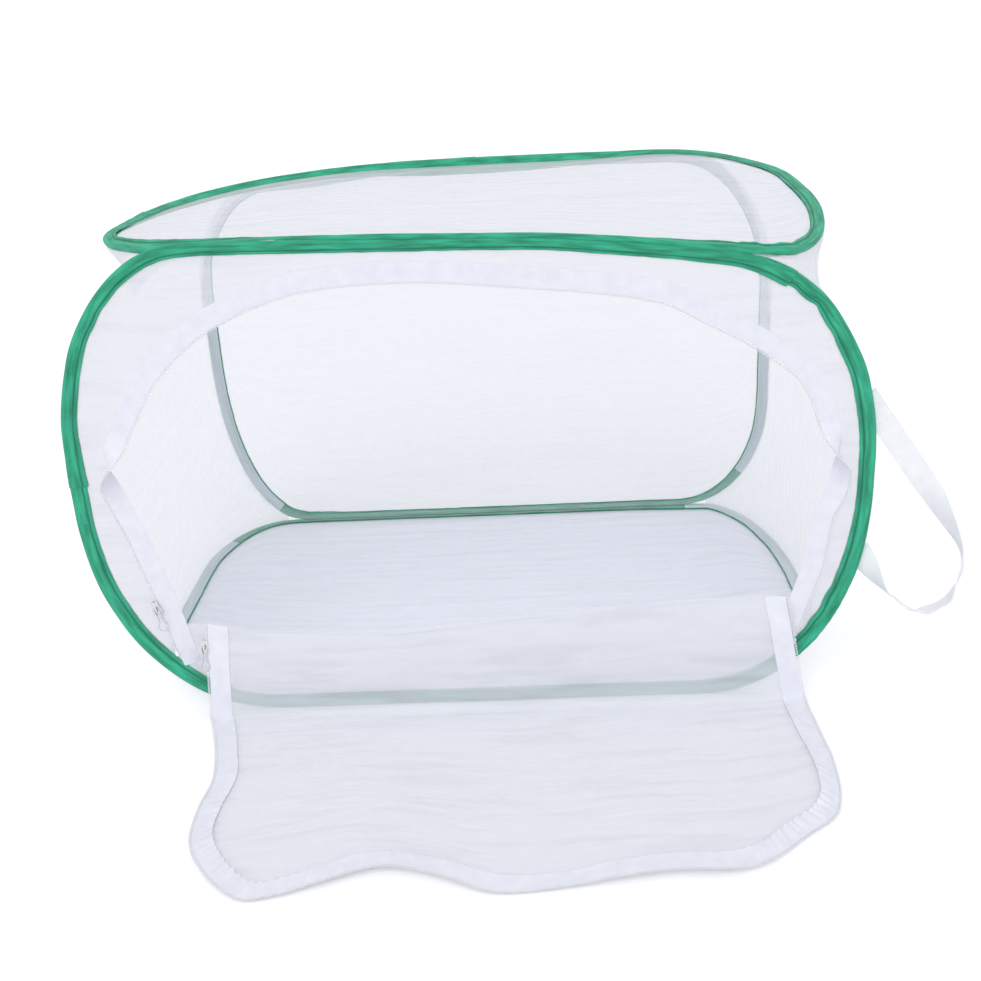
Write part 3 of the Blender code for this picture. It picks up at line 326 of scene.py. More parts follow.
def woven(name, hex_value, dark_hex, pitch, roughness, slant, depth, sheen, streaks=(90.0, 90.0, 90.0), seam_shade_hex=None):
    """Cloth with its threads this far apart, slanted in degrees, and a bump of this depth."""
    material, tree, shader = new_material(name, hex_value, roughness)
    shader.inputs["Sheen Weight"].default_value = sheen
    shader.inputs["Sheen Roughness"].default_value = 0.4
    uv = add(tree, "ShaderNodeUVMap", uv_map="cloth")
    turned = add(tree, "ShaderNodeMapping", {"Vector": uv.outputs["UV"], "Rotation": (0, 0, math.radians(slant))})
    axes = add(tree, "ShaderNodeSeparateXYZ", {0: turned.outputs[0]})
    waves = []
    for axis in ("X", "Y"):
        phase = add(tree, "ShaderNodeMath", {0: axes.outputs[axis], 1: 2 * math.pi / pitch}, operation="MULTIPLY")
        waves.append(add(tree, "ShaderNodeMath", {0: phase.outputs[0]}, operation="SINE"))
    weave = add(tree, "ShaderNodeMath", {0: waves[0].outputs[0], 1: waves[1].outputs[0]}, operation="MULTIPLY")
    drawn = add(tree, "ShaderNodeMapping", {"Vector": uv.outputs["UV"], "Scale": streaks})
    # This noise is the cloth's uneven tone; on the binding it is also painted shade in the creases.
    uneven = add(tree, "ShaderNodeTexNoise", {"Vector": drawn.outputs[0], "Scale": 1.0, "Detail": 4.0})
    tone = add(tree, "ShaderNodeMapRange", {0: uneven.outputs["Fac"], 1: 0.3, 2: 0.7})
    lines = add(tree, "ShaderNodeMath", {0: weave.outputs[0], 1: 0.12, 2: tone.outputs[0]}, operation="MULTIPLY_ADD")
    shade = add(
        tree,
        "ShaderNodeMix",
        {0: lines.outputs[0], 6: colour(dark_hex), 7: colour(hex_value)},
        data_type="RGBA",
        clamp_factor=True,
    )
    # With a seam colour given, the cloth is darker along its two seam lines: painted shade in the groove there.
    if seam_shade_hex:
        flat_axes = add(tree, "ShaderNodeSeparateXYZ", {0: uv.outputs["UV"]})
        from_fold = add(tree, "ShaderNodeMath", {0: flat_axes.outputs["Y"], 1: BAND_FLAT / 2}, operation="SUBTRACT")
        from_fold = add(tree, "ShaderNodeMath", {0: from_fold.outputs[0]}, operation="ABSOLUTE")
        from_seam = add(tree, "ShaderNodeMath", {0: from_fold.outputs[0], 1: SEAM_FLAT}, operation="SUBTRACT")
        from_seam = add(tree, "ShaderNodeMath", {0: from_seam.outputs[0]}, operation="ABSOLUTE")
        sewn = add(tree, "ShaderNodeMapRange", {0: from_seam.outputs[0], 1: 0.2 * MM, 2: 1.1 * MM, 3: 0.75, 4: 0.0})
        shade = add(
            tree,
            "ShaderNodeMix",
            {0: sewn.outputs[0], 6: shade.outputs[2], 7: colour(seam_shade_hex)},
            data_type="RGBA",
        )
    tree.links.new(shade.outputs[2], shader.inputs["Base Color"])
    bump = add(tree, "ShaderNodeBump", {"Height": weave.outputs[0], "Strength": depth, "Distance": pitch / 4})
    tree.links.new(bump.outputs[0], shader.inputs["Normal"])
    return material


DYE_AND_SHADE_STREAKS = (35.0, 260.0, 1.0)  # in a metre along the binding and across it
# The binding runs from its own green, 37BF95, to 17825F, which is partly its uneven dye and partly painted shade in
# creases.
green_tape = woven("plain_woven_binding", "37BF95", "17825F", 1.0 * MM, 0.7, 45, 0.5, 0.1, DYE_AND_SHADE_STREAKS, "0C5A41")
white_tape = woven("twill_zip_tape", "F3F4FB", "EBECF6", 1.2 * MM, 0.7, 30, 0.5, 0.2)
webbing = woven("ribbed_webbing", "F8F9FB", "F1F2F6", 1.6 * MM, 0.7, 0, 0.4, 0.2)
# The thread is a darker green than the binding: painted shade of the seam's groove.
thread_green = woven("green_sewing_thread", "1D9470", "12795A", 0.6 * MM, 0.6, 30, 0.4, 0.1)
print("woven:", [cloth.name for cloth in (green_tape, white_tape, webbing, thread_green)])

# %% [markdown]
# ## Metal and nylon
# The sliders are die-cast zinc with a nickel plate, and the pulls are bent from plated wire: bright,
# with a fine grain from tumbling. The coil of the zip is a clear-white nylon thread wound hot, with
# a wet-looking gloss. Nickel keeps the metal default IOR, and nylon has 1.53.

# %% Hard materials
plated, tree, shader = new_material("nickel_plated_zinc", "D6D7DA", 0.28, 1.0)
spring_steel, tree, shader = new_material("drawn_spring_steel", "8C9094", 0.35, 1.0)
nylon, tree, shader = new_material("wound_nylon_coil", "F3F3F7", 0.35)
shader.inputs["IOR"].default_value = 1.53
shader.inputs["Subsurface Weight"].default_value = 0.15
shader.inputs["Subsurface Radius"].default_value = (1.0 * MM, 1.0 * MM, 1.0 * MM)

# Each material's grains in a metre, their detail, and its least and greatest roughness
GRAINS = ((plated, 1400.0, 3.0, 0.2, 0.4), (spring_steel, 900.0, 2.0, 0.28, 0.42), (nylon, 500.0, 2.0, 0.25, 0.5))
for material, scale, detail, least, greatest in GRAINS:
    tree = material.node_tree
    place = add(tree, "ShaderNodeTexCoord")
    grain = add(tree, "ShaderNodeTexNoise", {"Vector": place.outputs["Object"], "Scale": scale, "Detail": detail})
    rough = add(tree, "ShaderNodeMapRange", {0: grain.outputs["Fac"], 3: least, 4: greatest})
    tree.links.new(rough.outputs[0], tree.nodes["Principled BSDF"].inputs["Roughness"])
    print(material.name, "roughness", least, "to", greatest)

# %% [markdown]
# ## Cutting and laying cloth
# Every cloth starts as a grid primitive. Its UV map is scaled to metres while it is flat, as if the
# weave were printed on it. Then each point is moved to where that bit of cloth lies: `lay` takes the
# two shares along the grid's sides and gives the place. Solidify gives a tape its thickness, and its
# two layers close at the edges. Netting is one layer, turned so that its face is the outer one.


# %% Cloth from a grid
SMOOTH_DEGREES = 40  # a tape's cut edges stay sharp, its folds don't


def face_outwards(cloth, outer):
    """Turns a sheet over if its faces point away from this direction."""
    mean = sum((face.normal * face.area for face in cloth.data.polygons), Vector())
    if mean.dot(Vector(outer)) < 0:
        pick(cloth)
        bpy.ops.object.mode_set(mode="EDIT")
        bpy.ops.mesh.select_all(action="SELECT")
        bpy.ops.mesh.flip_normals()
        bpy.ops.object.mode_set(mode="OBJECT")


def cut_cloth(name, flat, steps, lay, thickness, material, closed=False, outer=None):
    """A cloth of this flat size, with lay(u, v) giving the place of each share along it and across it."""
    bpy.ops.object.select_all(action="DESELECT")
    bpy.ops.mesh.primitive_grid_add(x_subdivisions=steps[0], y_subdivisions=steps[1], size=1, calc_uvs=True)
    cloth = bpy.context.object
    cloth.name = cloth.data.name = name
    layer = cloth.data.uv_layers[0]
    layer.name = "cloth"
    uv = np.empty(len(layer.data) * 2, np.float32)
    layer.data.foreach_get("uv", uv)
    layer.data.foreach_set("uv", (uv.reshape(-1, 2) * np.array(flat)).astype(np.float32).ravel())
    shares = points_of(cloth)[:, :2] + 0.5
    move_points(cloth, lay(shares[:, 0], shares[:, 1]))
    if closed:
        bpy.ops.object.mode_set(mode="EDIT")
        bpy.ops.mesh.select_all(action="SELECT")
        bpy.ops.mesh.remove_doubles(threshold=0.02 * MM)
        bpy.ops.object.mode_set(mode="OBJECT")
    if thickness:
        solidify = cloth.modifiers.new("thickness", "SOLIDIFY")
        solidify.thickness = thickness
        solidify.offset = 0
    apply_modifiers(cloth)
    if outer is not None:
        face_outwards(cloth, outer)
    pick(cloth)
    bpy.ops.object.shade_smooth_by_angle(angle=math.radians(SMOOTH_DEGREES))
    cloth.data.materials.append(material)
    print(name, [round(side / MM) for side in flat], "mm flat,", len(cloth.data.polygons), "faces")
    return cloth


# %% [markdown]
# A few lines of numbers say where things lie: a smooth curve through knots, the distance reached
# along it, and its point at a share of its length. Wrinkles are a smooth noise, which depends only on
# the place it is read at, so that every run gives the same ones.

# %% Wrinkles and lines
def wrinkle(x, y, size, seed, detail=3):
    """A smooth random height from about -1 to 1 at each place, with features of this size in metres."""
    return np.array([
        noise.fractal(Vector((a / size, b / size, seed)), 1.0, 2.0, detail) for a, b in zip(np.ravel(x), np.ravel(y))
    ])


def smooth_line(points, steps, ring=False):
    """A Catmull-Rom curve through points, as an array with this many steps between two of them."""
    knots = np.asarray(points, float)
    if ring:
        knots = np.vstack([knots[-1], knots, knots[:2]])
    else:
        knots = np.vstack([2 * knots[0] - knots[1], knots, 2 * knots[-1] - knots[-2]])
    before, here, after, later = knots[:-3], knots[1:-2], knots[2:-1], knots[3:]
    t = (np.arange(steps) / steps)[None, :, None]
    before, here, after, later = (k[:, None, :] for k in (before, here, after, later))
    curve = 2 * here + (after - before) * t
    curve = curve + (2 * before - 5 * here + 4 * after - later) * t**2 + (3 * here - before - 3 * after + later) * t**3
    curve = (curve / 2).reshape(-1, knots.shape[1])
    return curve if ring else np.vstack([curve, knots[-2]])


def lengths(line):
    return np.concatenate([[0], np.cumsum(np.linalg.norm(np.diff(line, axis=0), axis=1))])


def read_line(at, places, line, period=None):
    """A line's points at some values, where its own points lie at these places."""
    return np.stack([np.interp(at, places, column, period=period) for column in line.T], axis=1)


def along(line, shares):
    """The points at these shares of a line's length."""
    reached = lengths(line)
    return read_line(np.asarray(shares) * reached[-1], reached, line)


# %% [markdown]
# ## How the four loops stand
# A sprung loop isn't quite flat. The photograph shows the top panel's right front corner and its left
# side sagging by a centimetre or so, and the tape turning about its wire, so that it faces forwards
# along the back and at the front corners. It also shows where the tape is drawn narrower or wider.
# A table for each loop gives these, as places round it.

# %% The loops' forms
# Share round the loop from its left side, by way of its low side; sag in mm; turn in degrees; width share
LOOP_FORMS = {
    "front": (
        (0.00, 0, 0, 1.10), (0.05, 0, 0, 1.25), (0.075, 0, 0, 1.30), (0.10, 0, 0, 1.20), (0.125, 0, 0, 1.00),
        (0.35, 0, 0, 1.00), (0.375, 0, 0, 1.10), (0.40, 0, 0, 1.30), (0.425, 0, 0, 1.30), (0.45, 0, 0, 1.20),
        (0.475, 0, 0, 1.00), (0.55, 0, 0, 1.10), (0.575, 0, 0, 1.00), (0.60, 3.5, 0, 1.00), (0.6125, 8, 0, 0.95),
        (0.625, 10, 0, 0.90), (0.65, 7, 0, 0.80), (0.675, 3, 0, 0.75), (0.70, 0, 0, 0.70), (0.80, 0, 0, 0.70),
        (0.85, 0, 0, 0.80), (0.90, 0, 0, 0.90), (0.95, 0, 0, 1.00), (0.975, 0, 0, 1.10),
    ),
    "top": (
        (0.00, 5, 0, 1.00), (0.025, 3, -10, 1.00), (0.05, 4, -30, 1.00), (0.075, 7, -45, 1.00),
        (0.10, 8, -45, 1.00), (0.125, 5, -25, 0.90), (0.15, 2, -10, 0.70), (0.20, 0.5, 0, 0.60),
        (0.25, 1.5, 0, 0.60), (0.275, 1.5, 0, 0.60), (0.30, 4.5, 0, 0.70), (0.325, 8, -5, 0.75),
        (0.35, 13, -20, 0.85), (0.375, 18, -40, 0.90), (0.40, 17, -30, 0.85), (0.425, 13, -10, 0.85),
        (0.45, 9, 0, 0.90), (0.475, 6, 0, 1.00), (0.50, 5, 0, 1.00), (0.525, 4, 0, 1.00), (0.55, 3, 0, 0.90),
        (0.575, 3.5, 0, 1.00), (0.60, 2, 0, 1.00), (0.625, 0, 10, 1.00), (0.65, -1.5, 20, 1.00),
        (0.675, 0, 35, 1.00), (0.70, 0, 60, 1.10), (0.725, 0, 75, 1.30), (0.775, 0, 75, 1.35), (0.80, 0, 60, 1.25),
        (0.825, 1, 45, 1.00), (0.85, 3, 38, 1.00), (0.90, 5, 35, 1.00), (0.925, 5.5, 32, 1.00),
        (0.95, 6, 22, 1.00), (0.975, 5.5, 8, 1.00),
    ),
    "back": (
        (0.00, 0, 0, 1.00), (0.10, 0, 0, 1.00), (0.15, 0, 0, 0.45), (0.36, 0, 0, 0.45), (0.41, 0, 0, 1.00),
        (0.79, 0, 0, 1.00), (0.84, 9, 0, 1.00), (0.91, 9, 0, 1.00), (0.96, 0, 0, 1.00),
    ),
    "base": ((0.00, 0, 0, 1.00), (0.60, 0, 0, 1.00), (0.64, 0, 0, 0.50), (0.85, 0, 0, 0.50), (0.90, 0, 0, 1.00)),
}
print("places in the tables:", {key: len(form) for key, form in LOOP_FORMS.items()})

# %% [markdown]
# ## The four wire loops, read from the frame
# Every panel is built round its wire, and the wires are already in the frame. Each wire there is a
# chain of six-sided sections, so the mean of the points that lie close together is a point on its
# middle line. Sorted by their angle round the panel they make a ring. It is divided evenly, so that a
# smooth curve through it doesn't overshoot at the corners. At each place the helper also gives the
# way into the panel and out of it. The tables are smoothed by a running mean as they are read.

# %% Reading the loops
SMOOTH_POINTS = 21  # in the tables' running mean
LOOP_POINTS = 720
RING_KNOTS, KNOT_STEPS = 84, 12
WIRE_REACH = 4 * MM  # one section's points lie within this
PANELS = {
    "front": {"up": (0, 0, 1), "out": (0, -1, 0)},
    "back": {"up": (0, 0, 1), "out": (0, 1, 0)},
    "top": {"up": (0, 1, 0), "out": (0, 0, 1)},
    "base": {"up": (0, 1, 0), "out": (0, 0, -1)},
}


def middle_points(points, reach):
    """The mean of each group of points that lie this close together."""
    left, found = points, []
    while len(left):
        near = np.linalg.norm(left - left[0], axis=1) < reach
        found.append(np.unique(np.round(left[near], 6), axis=0).mean(axis=0))
        left = left[~near]
    return np.array(found)


def smooth_form(key, column):
    """One column of a loop's table at every point of the ring, smoothed."""
    form = np.array(LOOP_FORMS[key], float)
    values = np.interp(np.arange(LOOP_POINTS) / LOOP_POINTS, form[:, 0], form[:, column], period=1)
    half = SMOOTH_POINTS // 2
    wrapped = np.concatenate([values[-half:], values, values[:half]])
    values = np.convolve(wrapped, np.full(SMOOTH_POINTS, 1 / SMOOTH_POINTS), "valid")
    return np.append(values, values[0])


for key, panel in PANELS.items():
    panel["up"], panel["out"] = np.array(panel["up"], float), np.array(panel["out"], float)
    middles = middle_points(points_of(nodes[f"{key}_wire"]), WIRE_REACH)
    centre = (middles.max(axis=0) + middles.min(axis=0)) / 2
    angles = np.arctan2((middles - centre) @ panel["up"], (middles - centre)[:, 0])
    ordered = middles[np.argsort(angles)]
    ordered = along(np.vstack([ordered, ordered[:1]]), np.arange(RING_KNOTS) / RING_KNOTS)
    ring = smooth_line(ordered, KNOT_STEPS, ring=True)
    ring = along(np.vstack([ring, ring[0]]), np.arange(LOOP_POINTS + 1) / LOOP_POINTS)
    ahead_way = np.gradient(ring[:-1], axis=0)
    ahead_way[0] = ahead_way[-1] = ring[1] - ring[-2]
    inward = np.cross(panel["out"], ahead_way)
    inward /= np.linalg.norm(inward, axis=1)[:, None]
    if ((centre - ring[:-1]) * inward).sum() < 0:
        inward = -inward
    inward = np.vstack([inward, inward[0]])
    sag, tilt, width = (smooth_form(key, column) for column in (1, 2, 3))
    tilt = np.radians(tilt)[:, None]
    panel["inward"] = inward * np.cos(tilt) - panel["out"] * np.sin(tilt)
    panel["outward"] = panel["out"] * np.cos(tilt) + inward * np.sin(tilt)
    panel["width"] = width[:, None]
    panel["frame_ring"], panel["ring"] = ring, ring - np.array([0, 0, MM]) * sag[:, None]
    panel["length"] = lengths(ring)[-1]
    print(key, "loop", len(middles), "sections,", round(panel["length"], 3), "m round")


def around(panel, shares, name):
    """What a loop's list of this name has at these shares of the way round. A whole 1 stays the end."""
    at = np.asarray(shares) % 1.0000001 * LOOP_POINTS
    return read_line(at, np.arange(LOOP_POINTS + 1), panel[name])


def on_loop(panel, shares, inward, out):
    """Places beside a loop: this far into the panel from the wire's middle and this far out of it."""
    ring, way, outward = (around(panel, shares, name) for name in ("ring", "inward", "outward"))
    return ring + way * np.asarray(inward)[:, None] + outward * np.asarray(out)[:, None]


# %% [markdown]
# ## Wires
# Each wire is a curve with a round bevel, 1.5 mm thick, along its loop. It replaces the frame's wire,
# so that it stays inside its tape where the loop sags.

# %% Wires
WIRE_RADIUS = 0.75 * MM


def round_thread(name, points, radius, roundness, material, ring=False):
    """A thread or wire along points: a curve with a round bevel, made a mesh."""
    curve = bpy.data.curves.new(name, "CURVE")
    curve.dimensions = "3D"
    spline = curve.splines.new("POLY")
    spline.points.add(len(points) - 1)
    spline.points.foreach_set("co", np.pad(points, ((0, 0), (0, 1)), constant_values=1).astype(np.float32).ravel())
    spline.use_cyclic_u = ring
    curve.bevel_depth = radius
    curve.bevel_resolution = roundness
    curve.use_fill_caps = not ring
    thread = bpy.data.objects.new(name, curve)
    bpy.context.scene.collection.objects.link(thread)
    pick(thread)
    bpy.ops.object.convert(target="MESH")
    thread = bpy.context.object
    thread.data.shade_smooth()
    thread.data.materials.append(material)
    print(name, len(thread.data.polygons), "faces")
    return thread


for key, panel in PANELS.items():
    wire = round_thread(f"{key}_spring_loop", panel["ring"][:-1], WIRE_RADIUS, 1, spring_steel, ring=True)
    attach(wire, key)
    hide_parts(f"{key}_wire")

# %% [markdown]
# ## Binding tape
# Bias binding is a strip folded lengthways over the wire, with its two lips sewn together through the
# netting. A torus would be a hose and a flat ring would have no fold, so the strip is laid by a
# formula across it: half a circle over the wire, then two straight runs that close towards the lips.
# The lips wander a little, and where the tape was drawn round a tight corner it bunches.

# %% Across and along the folded tape
LIP_HALF = 0.75 * MM
TAPE_CLOTH = 0.35 * MM
WANDER = 0.35 * MM
GROOVE_DEPTH, GROOVE_HALF = 0.6 * MM, 0.7 * MM

# Where the tape bunches on each loop: share round the loop, half its length there, height of the puckers
BUNCHES = {
    "front": ((0.573, 0.020, 1.0 * MM), (0.415, 0.026, 0.7 * MM), (0.895, 0.020, 0.4 * MM), (0.12, 0.02, 0.5 * MM)),
    "top": ((0.37, 0.024, 0.8 * MM), (0.055, 0.02, 0.4 * MM), (0.60, 0.02, 0.3 * MM)),
    "back": ((0.13, 0.02, 0.4 * MM),),
    "base": ((0.62, 0.02, 0.4 * MM),),
}

def band_profile(v, raised=0.0):
    """For shares across the strip: how far in from the wire and how far out the folded tape lies."""
    half = math.pi / 2 * BAND_HALF + BAND_REACH
    w = (np.asarray(v) - 0.5) * 2 * half
    side, over = np.sign(w), np.abs(w)
    angle = np.minimum(over / BAND_HALF, math.pi / 2)
    run = np.maximum(over - math.pi / 2 * BAND_HALF, 0)
    inward = np.where(run > 0, run, -(BAND_HALF + raised) * np.cos(angle))
    out = np.where(run > 0, lip_height(run) + raised, (BAND_HALF + raised) * np.sin(angle))
    return inward, side * out


def lip_height(inward):
    """Half the folded tape's thickness, which closes towards the lips and is drawn in at the seam."""
    groove = np.exp(-(((inward - SEAM_INSET) / GROOVE_HALF) ** 2))
    return BAND_HALF + (LIP_HALF - BAND_HALF) * (inward / BAND_REACH) ** 0.8 - GROOVE_DEPTH * groove


def on_band(key, u, inward, out):
    """Places on a panel's tape, with the wander of its lips and the puckers where it bunches."""
    panel = PANELS[key]
    seed = list(PANELS).index(key) * 7.0
    closing = np.clip(inward / BAND_REACH, 0, 1)
    inward = np.where(inward > 0, inward * around(panel, u, "width")[:, 0], inward)
    round_x, round_y = np.cos(2 * math.pi * u) * 0.3, np.sin(2 * math.pi * u) * 0.3
    slow = wrinkle(round_x, round_y, 0.03, seed)
    fine = wrinkle(round_x, round_y, 0.009, seed + 3)
    inward = inward + closing * WANDER * (slow + 0.6 * fine)
    out = out + closing * WANDER * slow + np.sign(out) * 0.12 * MM * fine
    for place, half, height in BUNCHES[key]:
        gap = np.abs((u - place + 0.5) % 1 - 0.5)
        held = np.clip(1 - gap / half, 0, 1) ** 0.5
        s = (u - place) * panel["length"]
        pucker = np.sin(s / (2.1 * MM) + 3 * fine + 2.5 * closing) * np.sin(s / (5 * MM) + 2 * slow)
        out = out + np.sign(out) * held * height * (0.3 + 0.8 * pucker)
        inward = inward - held * closing * height * (1.5 + np.cos(s / (4 * MM) + 2 * slow))
    points = on_loop(panel, u, inward, out)
    points[:, 2] = np.maximum(points[:, 2], TAPE_CLOTH / 2)
    return points


# %% [markdown]
# The strip goes once round each loop, and its ends meet. There, and where two lengths of tape are
# joined, a short second layer laps over the first: raised at its cut end, which flares a little, and
# sinking into the strip at the other.

# %% Bindings
BAND_STEPS, BAND_ACROSS = 620, 34
LAP_STEPS = 24
# Where one end of the tape laps over the other: the share of its cut end, and where it goes under
OVERLAPS = {
    "front": ((0.982, 0.960), (0.590, 0.612)),
    "top": ((0.974, 0.996),),
    "back": ((0.74, 0.76),),
    "base": ((0.24, 0.26),),
}
OVERLAP_RISE, OVERLAP_SINK, OVERLAP_FLARE = 0.5 * MM, 0.3 * MM, 1.6 * MM


def lay_binding(key):
    def lay(u, v):
        return on_band(key, u, *band_profile(v))

    return lay


def lay_overlap(key, start, end):
    def lay(u, v):
        raised = OVERLAP_RISE - (OVERLAP_RISE + OVERLAP_SINK) * u
        inward, out = band_profile(v, raised)
        flare = OVERLAP_FLARE * (1 - u) * np.clip(inward / BAND_REACH, 0, 1)
        return on_band(key, start + (end - start) * u, inward + flare, out)

    return lay


for key, panel in PANELS.items():
    flat = (panel["length"], BAND_FLAT)
    band = cut_cloth(
        f"{key}_binding_tape", flat, (BAND_STEPS, BAND_ACROSS), lay_binding(key), TAPE_CLOTH, green_tape, closed=True
    )
    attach(band, key)
    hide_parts(f"{key}_binding")
    for number, (start, end) in enumerate(OVERLAPS[key]):
        flat = (abs(end - start) * panel["length"], BAND_FLAT)
        laid = lay_overlap(key, start, end)
        lap = cut_cloth(f"{key}_overlap_{number}", flat, (LAP_STEPS, BAND_ACROSS), laid, TAPE_CLOTH, green_tape)
        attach(lap, key)

# %% [markdown]
# ## Facing
# The tape is sewn to the outside of the cage, and the netting runs on behind it. So from inside, the
# green shows only as pale teal through one layer of netting. A strip of netting along each loop, on
# the inner face of the tape, gives that. It is thinner where the back and base panels are sewn
# together, and left out at the doorway's sill: the tape shows there.

# %% Netting behind the tape
FACING_SHARE = 0.415  # of the way across the strip, from its inner lip to the wire
FACING_START = 0.025
# Share round the loop where each strip starts and ends, and its netting
FACING_RUNS = {
    "front": ((0, 1, hem_netting),),
    "back": ((0.40, 1.10, hem_netting), (0.10, 0.40, seam_netting)),
    "top": ((0, 1, hem_netting),),
    "base": ((0.90, 1.12, hem_netting), (0.38, 0.60, hem_netting), (0.60, 0.90, seam_netting)),
}
FACING_GAP = 0.9 * MM  # from the tape to the strip beside it
FACING_STEPS = (360, 8)  # once round and across


def lay_facing(key, start, end):
    def lay(u, v):
        across = FACING_START + v * (FACING_SHARE - FACING_START)
        return on_band(key, start + (end - start) * u, *band_profile(across, FACING_GAP))

    return lay


for key, panel in PANELS.items():
    for number, (start, end, knit) in enumerate(FACING_RUNS[key]):
        flat = (panel["length"] * (end - start), (FACING_SHARE - FACING_START) * BAND_FLAT)
        facing = cut_cloth(
            f"{key}_facing_netting_{number}",
            flat,
            (int(FACING_STEPS[0] * (end - start)), FACING_STEPS[1]),
            lay_facing(key, start, end),
            0,
            knit,
            closed=end - start == 1,
            outer=-panel["out"],
        )
        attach(facing, key)
        width = around(panel, np.linspace(start, end, 50), "width").mean()

# %% [markdown]
# ## Stitches
# A lockstitch holds the lips together, about 3 mm from their edge, with stitches 3 mm long. One
# stitch is a small stretched ball with few faces. It is made once, and copies of its mesh are set
# along each loop, on both sides of the tape, and joined into one piece for each panel.

# %% Stitches on the bindings
STITCH_PITCH = 3.2 * MM
STITCH_SIZE = (1.15 * MM, 0.28 * MM, 0.2 * MM)
STITCH_STEP = 0.0005  # of the way round, to tell which way the seam runs


def stitch_row(name, places, ahead_ways, out_ways, material):
    """Stitches at places, each turned to its seam and lying on the cloth."""
    bpy.ops.object.select_all(action="DESELECT")
    bpy.ops.mesh.primitive_uv_sphere_add(segments=6, ring_count=4, radius=1)
    row = bpy.context.object
    row.name = row.data.name = name
    one = points_of(row) * np.array(STITCH_SIZE)
    faces = [list(face.vertices) for face in row.data.polygons]
    ahead_ways = ahead_ways / np.linalg.norm(ahead_ways, axis=1)[:, None]
    side_ways = np.cross(out_ways, ahead_ways)
    side_ways /= np.linalg.norm(side_ways, axis=1)[:, None]
    turns = np.stack([ahead_ways, side_ways, out_ways], axis=1)
    points = (np.einsum("nk,mkj->mnj", one, turns) + places[:, None, :]).reshape(-1, 3)
    all_faces = [[i + copy * len(one) for i in face] for copy in range(len(places)) for face in faces]
    mesh = bpy.data.meshes.new(name)
    mesh.from_pydata([tuple(point) for point in points], [], all_faces)
    row.data = mesh
    layer = mesh.uv_layers.new(name="cloth")
    layer.data.foreach_set("uv", np.zeros(len(layer.data) * 2, np.float32))
    mesh.shade_smooth()
    mesh.materials.append(material)
    print(name, len(places), "stitches")
    return row


for key, panel in PANELS.items():
    count = int(panel["length"] / STITCH_PITCH)
    shares = (np.arange(count) + 0.5) / count
    places, ways, outs = [], [], []
    for side in (1, -1):
        inset = np.full(count, SEAM_INSET)
        height = np.full(count, side * (lip_height(SEAM_INSET) + TAPE_CLOTH / 2))
        here, there = (on_band(key, shares + step, inset, height) for step in (0, STITCH_STEP))
        places.append(here)
        ways.append(there - here)
        outs.append(around(panel, shares, "outward") * side)
    row = stitch_row(f"{key}_stitches", np.vstack(places), np.vstack(ways), np.vstack(outs), thread_green)
    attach(row, key)

# %% [markdown]
# ## Panel netting
# A panel's netting is cut to the loop and held by the lips. Its grid is laid in columns from the
# loop's low side to its high side, each as long as the loop is tall there. The top netting hangs a
# little between its wires and crinkles, the back one is flatter, and the base one lies on the table.

# %% Netting of top, back and base
NET_CLOTH = 0.3 * MM  # the height of the base netting over the table
NET_TUCK = 5 * MM  # how far inside the wire the netting's edge lies, between the lips
TIP_INSET = 1.2 * MM
NET_STEPS = (170, 120)
NET_SAG = {"top": 5 * MM, "back": 1.5 * MM, "base": 0.0}
NET_CRINKLE = {"top": 2.2 * MM, "back": 0.9 * MM, "base": 0.4 * MM}
BASE_RIPPLE = 1.6  # how much higher the base netting's crinkles stand, as none goes down


def lay_netting(key):
    panel = PANELS[key]
    edge = on_loop(panel, np.arange(LOOP_POINTS) / LOOP_POINTS, np.full(LOOP_POINTS, NET_TUCK), np.zeros(LOOP_POINTS))
    s = edge @ panel["up"]
    middle = (s.max() + s.min()) / 2
    halves = []
    for level in (-1, 1):
        half = edge[(s - middle) * level >= 0]
        halves.append(half[np.argsort(half[:, 0])])
    left, right = edge[:, 0].min() + TIP_INSET, edge[:, 0].max() - TIP_INSET

    def lay(u, v):
        x = left + (right - left) * (1 - np.cos(math.pi * u)) / 2
        low, high = (read_line(x, half[:, 0], half) for half in halves)
        low[:, 0] = high[:, 0] = x
        points = low + (high - low) * v[:, None]
        s_here = points @ panel["up"]
        belly = np.sin(math.pi * v) * np.sin(math.pi * (x - left) / (right - left))
        held = np.clip(4 * belly, 0, 1)
        crinkle = wrinkle(x * 0.8, s_here, 0.05, 11.0 + len(key)) + 0.5 * wrinkle(x * 0.25, s_here, 0.011, len(key))
        drop = -NET_SAG[key] * belly + NET_CRINKLE[key] * held * crinkle
        if key == "base":
            resting = BAND_HALF - NET_CLOTH
            drop = np.clip(-drop, 0, None) * BASE_RIPPLE
            points[:, 2] = BAND_HALF - np.clip(6 * np.minimum(v, 1 - v), 0, 1) * held * resting + drop
            return points
        return points + panel["out"] * drop[:, None]

    return lay


for key in ("top", "back", "base"):
    panel = PANELS[key]
    span = panel["ring"].max(axis=0) - panel["ring"].min(axis=0)
    flat = (span[0] - 2 * NET_TUCK, span @ panel["up"] - 2 * NET_TUCK)
    knit = hem_netting if key == "base" else netting
    net = cut_cloth(f"{key}_netting", flat, NET_STEPS, lay_netting(key), 0, knit, outer=panel["out"])
    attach(net, key)
    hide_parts(f"{key}_net")

# %% [markdown]
# ## The zip round the doorway
# The doorway's edge is one smooth curve. The zip tape is sewn along it: flat inside the opening at
# the top, twisted over at both sides, and turned out over the netting below, with its teeth on the
# outer edge. At each place the helper gives the sewn edge, the way across the tape and the way out
# of its face, so the tape, the coil and the netting's edge all read the same curve. At both ends the
# tape dives behind the panel's netting, where the binding is sewn over it.

